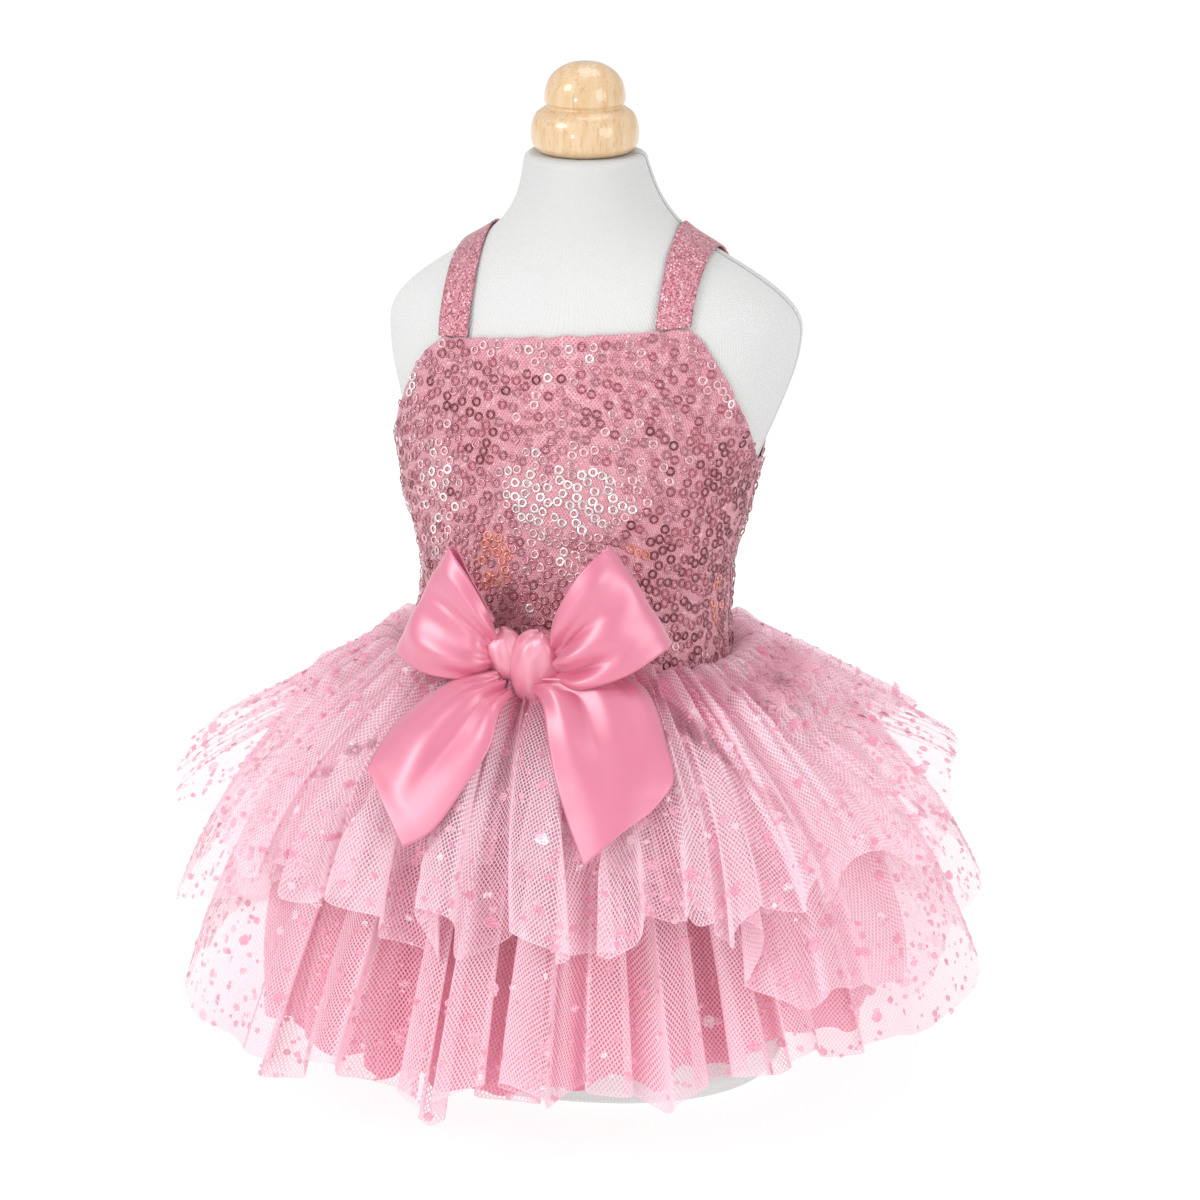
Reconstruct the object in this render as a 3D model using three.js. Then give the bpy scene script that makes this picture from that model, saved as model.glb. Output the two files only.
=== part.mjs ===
// Small tulle party dress for a pet, worn on a limbless jersey dress form.
// Millimetres, +Z up, origin at the centre of the form's flat underside, front towards -Y.
import * as THREE from 'three';

// ---------------------------------------------------------------- sizes
const FORM_TOP = 372;            // top of the neck
const FORM_SEG = 40;             // facets round the form
const CLOTH = 1.2;               // wall of the bodice and the straps
const SKIRT_WALL = 1.1;          // wall of each skirt layer
const RIBBON = 1.0;              // wall of the ribbon
const SEAM = 0.3;                // gap between pieces at a seam
const FOOT_FRONT = -0.1;         // from a strap's middle line on the form to the panel edge that it is sewn to
const FOOT_BACK = 1.25;
const CLEAR = 1.0;               // gap between the cloth and the form
const WAIST_Z = 174;             // waist seam at the sides and the back
const WAIST_RISE = 10;           // how far the seam rides up over the belly
const SIDE_Z = 252;              // underarm
const BACK_TOP = 268;            // straight top edge of the back
const NECK_Z = 305.3;              // front neckline at the centre
const NECK_TILT = 0.085;          // neckline height gained per mm of x
const STRAP_IN_LEFT = 39.5;      // inner edge of each strap, from the middle
const STRAP_IN_RIGHT = 36;
const STRAP_WIDTH = 13;
const SKIRT_SEG = 84;            // facets round a skirt layer
const SKIRT_CENTRE_Y = -4;
const LAYER_STEP = 1.5;          // how far each skirt layer stands off the one under it at the waist
const LAYER_DROP = 1.5;          // and how much lower the one under it starts

// the form: height, y of the widest points, half width, depth in front, depth behind, squareness
const FORM = [
  { z: 0,   yw: 0,   a: 78,   bf: 62, bb: 58, n: 2.3 },
  { z: 8,   yw: 0,   a: 82,   bf: 66, bb: 62, n: 2.3 },
  { z: 40,  yw: 0,   a: 82.5, bf: 68, bb: 63, n: 2.3 },
  { z: 80,  yw: -1,  a: 78,   bf: 67, bb: 60, n: 2.3 },
  { z: 120, yw: -4,  a: 70,   bf: 64, bb: 52, n: 2.2 },
  { z: 150, yw: -7,  a: 62.5, bf: 60, bb: 48, n: 2.15 },
  { z: 172, yw: -9,  a: 59,   bf: 56, bb: 48, n: 2.15 },
  { z: 190, yw: -8,  a: 58,   bf: 54, bb: 49, n: 2.15 },
  { z: 207, yw: -7,  a: 58.5, bf: 52, bb: 50, n: 2.15 },
  { z: 228, yw: -3,  a: 63.5, bf: 51, bb: 51, n: 2.15 },
  { z: 250, yw: 2,   a: 68.3, bf: 51, bb: 51, n: 2.2 },
  { z: 275, yw: 11,  a: 77.5, bf: 52, bb: 45, n: 2.3 },
  { z: 292, yw: 16,  a: 82.5, bf: 51.5, bb: 40, n: 2.3 },
  { z: 304, yw: 18,  a: 83.5, bf: 50, bb: 36, n: 2.3 },
  { z: 314, yw: 18,  a: 76.5, bf: 47, bb: 33, n: 2.2 },
  { z: 322, yw: 17,  a: 66,   bf: 43, bb: 30, n: 2.1 },
  { z: 330, yw: 15.5,a: 53,   bf: 39, bb: 27, n: 2.0 },
  { z: 340, yw: 12.5,a: 38,   bf: 35, bb: 24, n: 2.0 },
  { z: 355, yw: 7,   a: 28.2, bf: 29.5, bb: 22.5, n: 2.0 },
  { z: FORM_TOP, yw: 0.5, a: 23.6, bf: 23.5, bb: 22.5, n: 2.0 },
];

// the turned knob: radius and height, from the neck up
const KNOB = [
  { r: 18.5, z: 372.3 }, { r: 20.4, z: 375 }, { r: 21.2, z: 379 }, { r: 20.9, z: 383 },
  { r: 19.3, z: 387 },   { r: 16.2, z: 389.6 }, { r: 15.4, z: 390.6 }, { r: 15.9, z: 392 },
  { r: 15.7, z: 396 },   { r: 14.2, z: 400.5 }, { r: 11.2, z: 404 }, { r: 6.5, z: 406.6 },
];
const KNOB_TOP = 407.3;

// how far the bodice stands off the form, beyond its own gap, by height and side
const STAND_OFF = [
  { z: 166, left: 9.5, front: 2.5, right: 0.6, back: 2.0 },
  { z: 185, left: 5.5, front: 1.8, right: 0.4, back: 1.6 },
  { z: 205, left: 2.6, front: 0.8, right: 0.4, back: 1.0 },
  { z: 250, left: 5.4, front: 0.4, right: 0.4, back: 0.8 },
  { z: 282, left: 1.6, front: 0.3, right: 0.3, back: 0.4 },
  { z: 330, left: 0.2, front: 0.2, right: 0.2, back: 0.2 },
];

// top edge of the front panel: degrees from the front centre, height on each side
const ARMHOLE = [
  { deg: 33, left: null, right: null },
  { deg: 39, left: 296, right: 300 },
  { deg: 46, left: 287.5, right: 290 },
  { deg: 54, left: 278, right: 280 },
  { deg: 63, left: 268.5, right: 271 },
  { deg: 72, left: 260, right: 263 },
  { deg: 81, left: 254, right: 256 },
  { deg: 90, left: SIDE_Z, right: SIDE_Z },
];

// the large folds of the skirt: where each ridge stands, how high it is, how deep the
// fold after it is, and how much lower or higher the hem hangs there (parts of full size)
const FOLDS = [
  { deg: 6,   ridge: 0.9,  fold: 0.8, hem: 0.2 },
  { deg: 25,  ridge: 0.7,  fold: 0.9, hem: -0.6 },
  { deg: 47,  ridge: 1.1,  fold: 0.7, hem: 0.5 },
  { deg: 66,  ridge: 0.8,  fold: 1.0, hem: -0.2 },
  { deg: 88,  ridge: 1.0,  fold: 0.8, hem: 0.6 },
  { deg: 107, ridge: 0.8,  fold: 0.9, hem: -0.5 },
  { deg: 129, ridge: 1.1,  fold: 0.8, hem: 0.3 },
  { deg: 148, ridge: 0.8,  fold: 0.7, hem: -0.4 },
  { deg: 170, ridge: 1.0,  fold: 0.9, hem: 0.5 },
  { deg: 190, ridge: 0.8,  fold: 0.7, hem: -0.5 },
  { deg: 209, ridge: 0.9,  fold: 1.0, hem: 0.6 },
  { deg: 228, ridge: 0.7,  fold: 1.3, hem: -0.3 },
  { deg: 245, ridge: 1.1,  fold: 0.8, hem: 0.7 },
  { deg: 262, ridge: 0.9,  fold: 0.7, hem: -0.6 },
  { deg: 280, ridge: 1.0,  fold: 1.2, hem: 0.8 },
  { deg: 299, ridge: 0.8,  fold: 0.8, hem: -1.0 },
  { deg: 317, ridge: 1.0,  fold: 0.9, hem: 0.4 },
  { deg: 340, ridge: 0.8,  fold: 0.8, hem: -0.4 },
];

// the skirt layers, inside out. Hem radius at the sides, front and back; then for each of
// those directions two control points of the fall (part of the way out, height) and the hem height
const LAYERS = [
  { name: 'skirt_lining', color: 0xe87f9d, rough: 0.55, rs: 129, rf: 121, rb: 120, amp: 5.0, jag: 2.0, rows: 5,
    side:  { h1: 0.35, z1: 140, h2: 1.08, z2: 88,  zh: 36 },
    front: { h1: 0.30, z1: 142, h2: 0.92, z2: 92,  zh: 27 },
    back:  { h1: 0.35, z1: 140, h2: 1.04, z2: 88,  zh: 32 } },
  { name: 'tulle_lower', color: 0xf3c3d0, rough: 0.7, rs: 163, rf: 150, rb: 152, amp: 6.0, jag: 4.0, rows: 5,
    side:  { h1: 0.42, z1: 150, h2: 0.80, z2: 96,  zh: 37 },
    front: { h1: 0.30, z1: 152, h2: 0.60, z2: 110, zh: 32 },
    back:  { h1: 0.40, z1: 150, h2: 0.78, z2: 96,  zh: 34 } },
  { name: 'tulle_middle', color: 0xf5cbd6, rough: 0.7, rs: 164, rf: 129, rb: 153, amp: 5.5, jag: 4.0, rows: 5,
    side:  { h1: 0.45, z1: 163, h2: 0.80, z2: 122, zh: 74 },
    front: { h1: 0.34, z1: 162, h2: 0.70, z2: 136, zh: 91 },
    back:  { h1: 0.42, z1: 162, h2: 0.80, z2: 118, zh: 76 } },
  { name: 'tulle_upper', color: 0xf6d2db, rough: 0.7, rs: 163, rf: 134, rb: 152, amp: 5.0, jag: 5.0, rows: 5,
    side:  { h1: 0.33, z1: 168, h2: 0.66, z2: 149, zh: 127 },
    front: { h1: 0.42, z1: 172, h2: 0.88, z2: 147, zh: 98 },
    back:  { h1: 0.40, z1: 169, h2: 0.75, z2: 144, zh: 108 } },
];

// where a layer is drawn in: direction, half width in degrees, how far
const TUCKS = [
  { layer: 'tulle_lower', deg: -50, width: 28, by: 18 },
  { layer: 'skirt_lining', deg: -48, width: 28, by: 9 },
  { layer: 'tulle_middle', deg: 8, width: 30, by: 3 },
  { layer: 'tulle_upper', deg: 4, width: 30, by: 13 },
];
const LEAN = 5;                  // how much higher the skirt stands at its right side than in the middle

// the bow, relative to the middle of its knot. Each row is one station along the ribbon:
// upper (or left) edge x, y, z, lower (or right) edge x, y, z,
// and how far the middle of the ribbon stands off a straight line between them
const KNOT = { x: -2, y: -80.3, z: 189.3, rx: 11.2, ry: 7.6, rz: 9.3 };
const LOOP_LEFT = [
  { ux: -11.5, uy: -3, uz: 6,   lx: -11.5, ly: -3,  lz: -5 },
  { ux: -18, uy: -10, uz: 18,   lx: -23, ly: -11, lz: -6 },
  { ux: -25, uy: -9,  uz: 32,   lx: -38, ly: -10, lz: -5 },
  { ux: -30, uy: -1,  uz: 41,   lx: -51, ly: -1,  lz: -2 },
  { ux: -29, uy: 7,   uz: 41,   lx: -52, ly: 9,   lz: 0 },
  { ux: -21, uy: 9,   uz: 31,   lx: -38, ly: 8,   lz: 1 },
  { ux: -12.5, uy: 6, uz: 15,   lx: -22, ly: 6,   lz: -1 },
];
const LOOP_RIGHT = [
  { ux: 11.5, uy: -3, uz: 6,    lx: 11.5, ly: -3, lz: -5 },
  { ux: 17, uy: -11, uz: 20,    lx: 24, ly: -12, lz: -5 },
  { ux: 25, uy: -10, uz: 36,    lx: 42, ly: -11, lz: 0 },
  { ux: 33, uy: -1, uz: 46,     lx: 56, ly: 0,   lz: 8 },
  { ux: 32, uy: 7,  uz: 45,     lx: 55, ly: 10,  lz: 9 },
  { ux: 22, uy: 9,  uz: 33,     lx: 40, ly: 9,   lz: 4 },
  { ux: 13, uy: 6,  uz: 16,     lx: 22, ly: 6,   lz: 0 },
];
const TAIL_LEFT = [
  { ux: -8, uy: -8.5, uz: -11.5,     lx: -3, ly: -10, lz: -13,        crown: 0 },
  { ux: -31.5, uy: -12, uz: -10.5,   lx: -3.6, ly: -24.5, lz: -15.5,  crown: 3 },
  { ux: -44.2, uy: -20.5, uz: -22.3, lx: -4.9, ly: -33.5, lz: -26.5,  crown: 3 },
  { ux: -49.2, uy: -26.5, uz: -29.5, lx: -11.6, ly: -43.2, lz: -38.9, crown: 3 },
  { ux: -52, uy: -32, uz: -35,       lx: -22.6, ly: -53, lz: -55.4,   crown: 3 },
  { ux: -53.3, uy: -34.8, uz: -38.6, lx: -33.6, ly: -55, lz: -62.2,   crown: 2 },
];
const TAIL_RIGHT = [
  { ux: 3.5, uy: -10, uz: -13,       lx: 9, ly: -8.5, lz: -11.5,      crown: 0 },
  { ux: 11, uy: -17.5, uz: -12,      lx: 45, ly: -2, lz: -6.5,        crown: 5 },
  { ux: 17, uy: -30, uz: -24,        lx: 61, ly: -19, lz: -26.4,      crown: 4 },
  { ux: 23.2, uy: -41, uz: -36.6,    lx: 65.5, ly: -26.5, lz: -35.8,  crown: 3.5 },
  { ux: 30, uy: -48.5, uz: -49.5,    lx: 63, ly: -32.5, lz: -41.5,    crown: 3 },
  { ux: 38.3, uy: -56.5, uz: -63.2,  lx: 58.5, ly: -39.5, lz: -46.4,  crown: 2 },
];

// ---------------------------------------------------------------- helpers
const rad = (d) => d * Math.PI / 180;
const mix = (a, b, t) => a + (b - a) * t;
const spow = (v, p) => Math.sign(v) * Math.pow(Math.abs(v), p);

// smooth value of a column at z, in a table sorted by z (monotone cubic)
function column(table, key, z, by = 'z') {
  const n = table.length;
  if (z <= table[0][by]) return table[0][key];
  if (z >= table[n - 1][by]) return table[n - 1][key];
  let i = 0;
  while (z > table[i + 1][by]) i++;
  const slope = (k) => (table[k + 1][key] - table[k][key]) / (table[k + 1][by] - table[k][by]);
  const tangent = (k) => {
    if (k === 0) return slope(0);
    if (k === n - 1) return slope(n - 2);
    const s0 = slope(k - 1), s1 = slope(k);
    return s0 * s1 <= 0 ? 0 : 2 * s0 * s1 / (s0 + s1);
  };
  const h = table[i + 1][by] - table[i][by], t = (z - table[i][by]) / h;
  const t2 = t * t, t3 = t2 * t;
  return (2 * t3 - 3 * t2 + 1) * table[i][key] + (t3 - 2 * t2 + t) * h * tangent(i)
    + (-2 * t3 + 3 * t2) * table[i + 1][key] + (t3 - t2) * h * tangent(i + 1);
}

// point of the form at height z and angle t (0 at +X, -90 in front), moved out by off
function formPoint(z, t, off = 0) {
  const a = column(FORM, 'a', z) + off, n = column(FORM, 'n', z);
  const b = (Math.sin(t) < 0 ? column(FORM, 'bf', z) : column(FORM, 'bb', z)) + off;
  return new THREE.Vector3(a * spow(Math.cos(t), 2 / n),
    column(FORM, 'yw', z) + b * spow(Math.sin(t), 2 / n), z);
}

// parts of left, front, right and back at angle t
function sides(t) {
  const c = Math.cos(t), s = Math.sin(t);
  return { left: c < 0 ? c * c : 0, right: c >= 0 ? c * c : 0, front: s < 0 ? s * s : 0, back: s >= 0 ? s * s : 0 };
}
function standOff(z, t) {
  const w = sides(t);
  return ['left', 'front', 'right', 'back'].reduce((sum, k) => sum + w[k] * column(STAND_OFF, k, z), 0);
}
const waistZ = (t) => WAIST_Z + WAIST_RISE * Math.pow(sides(t).front, 1.5);

// a wall of even thickness on a grid of points [u][v]; round: the u direction closes on itself
function wall(grid, thick, round = false) {
  const nu = grid.length, nv = grid[0].length;
  const at = (i, j) => grid[round ? (i + nu) % nu : Math.min(Math.max(i, 0), nu - 1)][Math.min(Math.max(j, 0), nv - 1)];
  const pos = [], idx = [];
  for (const side of [1, -1]) {
    for (let i = 0; i < nu; i++) for (let j = 0; j < nv; j++) {
      const du = at(i + 1, j).clone().sub(at(i - 1, j)), dv = at(i, j + 1).clone().sub(at(i, j - 1));
      const nrm = du.cross(dv).normalize().multiplyScalar(side * thick / 2);
      const p = at(i, j).clone().add(nrm);
      pos.push(p.x, p.y, p.z);
    }
  }
  const id = (side, i, j) => side * nu * nv + (round ? i % nu : i) * nv + j;
  const quad = (a, b, c, d) => idx.push(a, b, c, a, c, d);
  const lu = round ? nu : nu - 1;
  for (let i = 0; i < lu; i++) for (let j = 0; j < nv - 1; j++) {
    quad(id(0, i, j), id(0, i + 1, j), id(0, i + 1, j + 1), id(0, i, j + 1));
    quad(id(1, i, j), id(1, i, j + 1), id(1, i + 1, j + 1), id(1, i + 1, j));
  }
  for (let i = 0; i < lu; i++) {
    quad(id(0, i, 0), id(1, i, 0), id(1, i + 1, 0), id(0, i + 1, 0));
    quad(id(0, i, nv - 1), id(0, i + 1, nv - 1), id(1, i + 1, nv - 1), id(1, i, nv - 1));
  }
  if (!round) for (let j = 0; j < nv - 1; j++) {
    quad(id(0, 0, j), id(0, 0, j + 1), id(1, 0, j + 1), id(1, 0, j));
    quad(id(0, nu - 1, j), id(1, nu - 1, j), id(1, nu - 1, j + 1), id(0, nu - 1, j + 1));
  }
  return solid(pos, idx);
}

// a geometry from points and triangles, turned so that its faces point out
function solid(pos, idx) {
  let vol = 0;
  const P = (k) => new THREE.Vector3(pos[3 * k], pos[3 * k + 1], pos[3 * k + 2]);
  for (let k = 0; k < idx.length; k += 3) vol += P(idx[k]).dot(P(idx[k + 1]).cross(P(idx[k + 2])));
  if (vol < 0) for (let k = 0; k < idx.length; k += 3) [idx[k + 1], idx[k + 2]] = [idx[k + 2], idx[k + 1]];
  const g = new THREE.BufferGeometry();
  g.setAttribute('position', new THREE.Float32BufferAttribute(pos, 3));
  g.setIndex(idx);
  g.computeVertexNormals();
  return g;
}

const part = new THREE.Group();
function add(name, geometry, color, roughness = 0.7, metalness = 0) {
  const m = new THREE.Mesh(geometry, new THREE.MeshStandardMaterial({ color, roughness, metalness }));
  m.name = name;
  part.add(m);
  return m;
}

// ---------------------------------------------------------------- dress form
{
  const heights = [0, 3, 8, 24, 60, 90, 120, 140, 160, 175, 190, 207, 222, 237,
    251, 264, 276, 286, 295, 303, 309, 314, 319, 324, 329, 334, 340, 348, 360, FORM_TOP];
  const pos = [], idx = [];
  for (const z of heights) for (let i = 0; i < FORM_SEG; i++) {
    const p = formPoint(z, 2 * Math.PI * i / FORM_SEG);
    pos.push(p.x, p.y, p.z);
  }
  const low = pos.length / 3;
  pos.push(0, 0, 0);
  pos.push(0, 0, FORM_TOP);
  const top = (heights.length - 1) * FORM_SEG;
  for (let i = 0; i < FORM_SEG; i++) {
    const j = (i + 1) % FORM_SEG;
    for (let k = 0; k < heights.length - 1; k++) {
      const a = k * FORM_SEG + i, b = k * FORM_SEG + j;
      idx.push(a, b, b + FORM_SEG, a, b + FORM_SEG, a + FORM_SEG);
    }
    idx.push(low, j, i, low + 1, top + i, top + j);
  }
  add('form_torso', solid(pos, idx), 0xececed, 0.9);
  const profile = [new THREE.Vector2(0, KNOB[0].z), ...KNOB.map((k) => new THREE.Vector2(k.r, k.z)), new THREE.Vector2(0, KNOB_TOP)];
  const knob = new THREE.LatheGeometry(profile, 32);
  knob.rotateX(Math.PI / 2);
  add('form_knob', knob, 0xebb978, 0.3);
}

// ---------------------------------------------------------------- bodice
const SIDE_SEAM = rad(0.14);
const NECK_LEFT = STRAP_IN_LEFT + STRAP_WIDTH, NECK_RIGHT = STRAP_IN_RIGHT + STRAP_WIDTH;
const bodicePoint = (z, t) => formPoint(z, t, CLEAR + CLOTH / 2 + standOff(z, t));
function frontTop(t, x) {                     // t from -180 (left side) to 0 (right side)
  const deg = Math.abs(t * 180 / Math.PI + 90), key = t < -Math.PI / 2 ? 'left' : 'right';
  const corner = NECK_Z + NECK_TILT * (key === 'left' ? -NECK_LEFT : NECK_RIGHT);
  if (deg <= ARMHOLE[0].deg) return NECK_Z + NECK_TILT * x;
  const rows = ARMHOLE.map((r) => ({ deg: r.deg, z: r[key] ?? corner }));
  return column(rows, 'z', deg, 'deg');
}
{
  const grid = [], NU = 26, NV = 8;
  for (let i = 0; i <= NU; i++) {
    const u = i / NU, t = -Math.PI + SIDE_SEAM + u * (Math.PI - 2 * SIDE_SEAM);
    const col = [], z0 = waistZ(t) + SEAM;
    const x = bodicePoint(300, t).x, z1 = frontTop(t, Math.max(-NECK_LEFT, Math.min(NECK_RIGHT, x)));
    for (let j = 0; j <= NV; j++) col.push(bodicePoint(mix(z0, z1, j / NV), t));
    grid.push(col);
  }
  add('bodice_front', wall(grid, CLOTH), 0xd68094, 0.6);
}
{
  const grid = [], NU = 20, NV = 5;
  for (let i = 0; i <= NU; i++) {
    const u = i / NU, t = SIDE_SEAM + u * (Math.PI - 2 * SIDE_SEAM);
    const col = [], z0 = waistZ(t) + SEAM;
    const rise = Math.min(1, Math.max(0, (Math.sin(t) - 0.15) / 0.5));
    const z1 = SIDE_Z + (BACK_TOP - SIDE_Z) * rise * rise * (3 - 2 * rise);
    for (let j = 0; j <= NV; j++) col.push(bodicePoint(mix(z0, z1, j / NV), t));
    grid.push(col);
  }
  add('bodice_back', wall(grid, CLOTH), 0xd68094, 0.6);
}

// ---------------------------------------------------------------- straps
// the strap's line over the shoulder at distance x from the middle: rises on the front of
// the form, crosses the ridge and goes down the back to the back panel
function ridgeZ(x) {
  let lo = 300, hi = FORM_TOP;
  for (let k = 0; k < 40; k++) {
    const m = (lo + hi) / 2;
    if (column(FORM, 'a', m) > x) lo = m; else hi = m;
  }
  return lo;
}
function strapPoint(side, x, u, off) {        // u 0 at the front foot, 1 at the back foot
  const zr = ridgeZ(x), front = NECK_Z + side * NECK_TILT * x + FOOT_FRONT, back = BACK_TOP + FOOT_BACK;
  const at = (v) => {
    const f = v < 0.5, w = f ? v / 0.5 : (1 - v) / 0.5;
    const z = mix(f ? front : back, zr, Math.sin(w * Math.PI / 2));
    const a = column(FORM, 'a', z), n = column(FORM, 'n', z);
    const b = f ? column(FORM, 'bf', z) : column(FORM, 'bb', z);
    const k = Math.pow(Math.max(0, 1 - Math.pow(Math.min(1, x / a), n)), 1 / n);
    return new THREE.Vector3(side * x, column(FORM, 'yw', z) + (f ? -b : b) * k, z);
  };
  const p = at(u), e = 0.004;
  const d = at(Math.min(1, u + e)).sub(at(Math.max(0, u - e))).normalize();
  // outward in the plane of the strap's line, tilted with the slope of the shoulder
  const out = new THREE.Vector3(side * 0.62 * Math.pow(Math.sin(u * Math.PI), 3), -d.z, d.y).normalize();
  return p.addScaledVector(out, off);
}
for (const side of [-1, 1]) {
  const grid = [], NU = 26, NV = 2, off = CLEAR + 0.5 + CLOTH / 2;
  for (let i = 0; i <= NU; i++) {
    const row = [];
    const inner = side < 0 ? STRAP_IN_LEFT : STRAP_IN_RIGHT;
    for (let j = 0; j <= NV; j++) row.push(strapPoint(side, inner + STRAP_WIDTH * j / NV, i / NU, off));
    grid.push(row);
  }
  add(side < 0 ? 'strap_left' : 'strap_right', wall(grid, CLOTH), 0xcd6e82, 0.55, 0.1);
}

// ---------------------------------------------------------------- skirt
// height of the folds round the skirt, -1 in a valley to 1 on a ridge, and of the hem's steps
function foldAt(t) {
  const n = FOLDS.length;
  let d = ((t * 180 / Math.PI) % 360 + 360) % 360;
  if (d < FOLDS[0].deg) d += 360;
  for (let i = 0; i < n; i++) {
    const a = FOLDS[i], b = FOLDS[(i + 1) % n], end = b.deg + (i === n - 1 ? 360 : 0);
    if (d > end) continue;
    const q = (d - a.deg) / (end - a.deg);
    const s = (1 - Math.cos(2 * Math.PI * q)) / 2;
    const ridge = mix(a.ridge, b.ridge, q);
    return { r: mix(ridge, -a.fold, s), hem: mix(a.hem, b.hem, (1 - Math.cos(Math.PI * q)) / 2) };
  }
  return { r: 0, hem: 0 };
}
function layerPoint(layer, k, t, s) {
  const w = sides(t), side = w.left + w.right;
  const get = (key) => side * layer.side[key] + w.front * layer.front[key] + w.back * layer.back[key];
  const z0 = waistZ(t) - 0.8 - (LAYERS.length - 1 - k) * LAYER_DROP;
  const p0 = formPoint(z0, t, CLEAR + CLOTH / 2 + standOff(z0, t) + (k - 0.5) * LAYER_STEP);
  const f = foldAt(t);
  const deg = t * 180 / Math.PI;
  let r1 = side * layer.rs + w.front * layer.rf + w.back * layer.rb;
  for (const tuck of TUCKS) if (tuck.layer === layer.name) {
    const away = ((deg - tuck.deg) % 360 + 540) % 360 - 180;
    r1 -= tuck.by * Math.exp(-Math.pow(away / tuck.width, 2));
  }
  const q = 1 - s;
  const h = 3 * q * q * s * get('h1') + 3 * q * s * s * get('h2') + s * s * s;
  const z = q * q * q * z0 + 3 * q * q * s * get('z1') + 3 * q * s * s * get('z2')
    + s * s * s * (get('zh') + layer.jag * f.hem) + LEAN * Math.cos(t) * s * s;
  const hx = r1 * Math.cos(t), hy = SKIRT_CENTRE_Y + r1 * Math.sin(t);
  const out = layer.amp * f.r * s * (0.35 + 0.65 * s);
  return new THREE.Vector3(mix(p0.x, hx, h) + out * Math.cos(t), mix(p0.y, hy, h) + out * Math.sin(t), z);
}
LAYERS.forEach((layer, k) => {
  const grid = [];
  for (let i = 0; i < SKIRT_SEG; i++) {
    const col = [];
    for (let j = 0; j < layer.rows; j++) col.push(layerPoint(layer, k, 2 * Math.PI * i / SKIRT_SEG, j / (layer.rows - 1)));
    grid.push(col);
  }
  add(layer.name, wall(grid, SKIRT_WALL, true), layer.color, layer.rough);
});

// ---------------------------------------------------------------- bow
function ribbon(rows, along, across) {
  const curve = (x, y, z) => new THREE.CatmullRomCurve3(rows.map((r) => new THREE.Vector3(KNOT.x + r[x], KNOT.y + r[y], KNOT.z + r[z])), false, 'centripetal');
  const up = curve('ux', 'uy', 'uz'), low = curve('lx', 'ly', 'lz');
  const crowns = rows.map((r, k) => ({ k, crown: r.crown ?? 0 }));
  const grid = [];
  for (let i = 0; i <= along; i++) {
    const a = up.getPoint(i / along), b = low.getPoint(i / along), row = [];
    const crown = column(crowns, 'crown', i / along * (rows.length - 1), 'k');
    for (let j = 0; j <= across; j++) {
      const q = j / across, lift = 4 * q * (1 - q) * crown;
      row.push(a.clone().lerp(b, q).add(new THREE.Vector3(0, -0.85 * lift, 0.5 * lift)));
    }
    grid.push(row);
  }
  return wall(grid, RIBBON);
}
const SATIN = 0xf091ac;
add('bow_loop_left', ribbon(LOOP_LEFT, 18, 3), SATIN, 0.3);
add('bow_loop_right', ribbon(LOOP_RIGHT, 18, 3), SATIN, 0.3);
add('bow_tail_left', ribbon(TAIL_LEFT, 10, 4), SATIN, 0.3);
add('bow_tail_right', ribbon(TAIL_RIGHT, 10, 4), SATIN, 0.3);
{
  const knot = new THREE.SphereGeometry(1, 16, 10);
  knot.scale(KNOT.rx, KNOT.ry, KNOT.rz);
  knot.translate(KNOT.x, KNOT.y, KNOT.z);
  add('bow_knot', knot, SATIN, 0.3);
}

export default part;
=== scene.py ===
# Small tulle party dress for a pet on a limbless jersey dress form: the visual model.
# Metres in Blender; the tables and functions below are in millimetres.
import math

import bpy
import numpy as np
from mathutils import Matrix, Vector


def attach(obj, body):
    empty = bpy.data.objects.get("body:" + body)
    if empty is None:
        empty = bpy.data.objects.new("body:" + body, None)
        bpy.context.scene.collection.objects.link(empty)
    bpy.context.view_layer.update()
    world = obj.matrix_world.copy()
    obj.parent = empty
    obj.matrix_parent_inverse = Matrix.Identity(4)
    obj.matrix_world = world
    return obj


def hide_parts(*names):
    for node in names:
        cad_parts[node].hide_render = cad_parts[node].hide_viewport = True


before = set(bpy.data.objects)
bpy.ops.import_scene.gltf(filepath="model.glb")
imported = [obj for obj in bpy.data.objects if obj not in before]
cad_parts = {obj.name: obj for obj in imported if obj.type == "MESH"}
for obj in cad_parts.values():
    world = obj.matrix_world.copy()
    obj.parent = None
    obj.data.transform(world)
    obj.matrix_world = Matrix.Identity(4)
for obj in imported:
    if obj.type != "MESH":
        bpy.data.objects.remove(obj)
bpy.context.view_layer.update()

# ---------------------------------------------------------------- sizes and tables, as in the CAD part
FORM_TOP = 372
FORM_SEG = 40
CLOTH = 1.2
SKIRT_WALL = 1.1
RIBBON = 1.0
SEAM = 0.3
FOOT_FRONT = -0.1
FOOT_BACK = 1.25
CLEAR = 1.0
WAIST_Z = 174
WAIST_RISE = 10
SIDE_Z = 252
BACK_TOP = 268
NECK_Z = 305.3
NECK_TILT = 0.085
STRAP_IN_LEFT = 39.5
STRAP_IN_RIGHT = 36
STRAP_WIDTH = 13
SKIRT_SEG = 84
SKIRT_CENTRE_Y = -4
LAYER_STEP = 1.5
LAYER_DROP = 1.5
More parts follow.
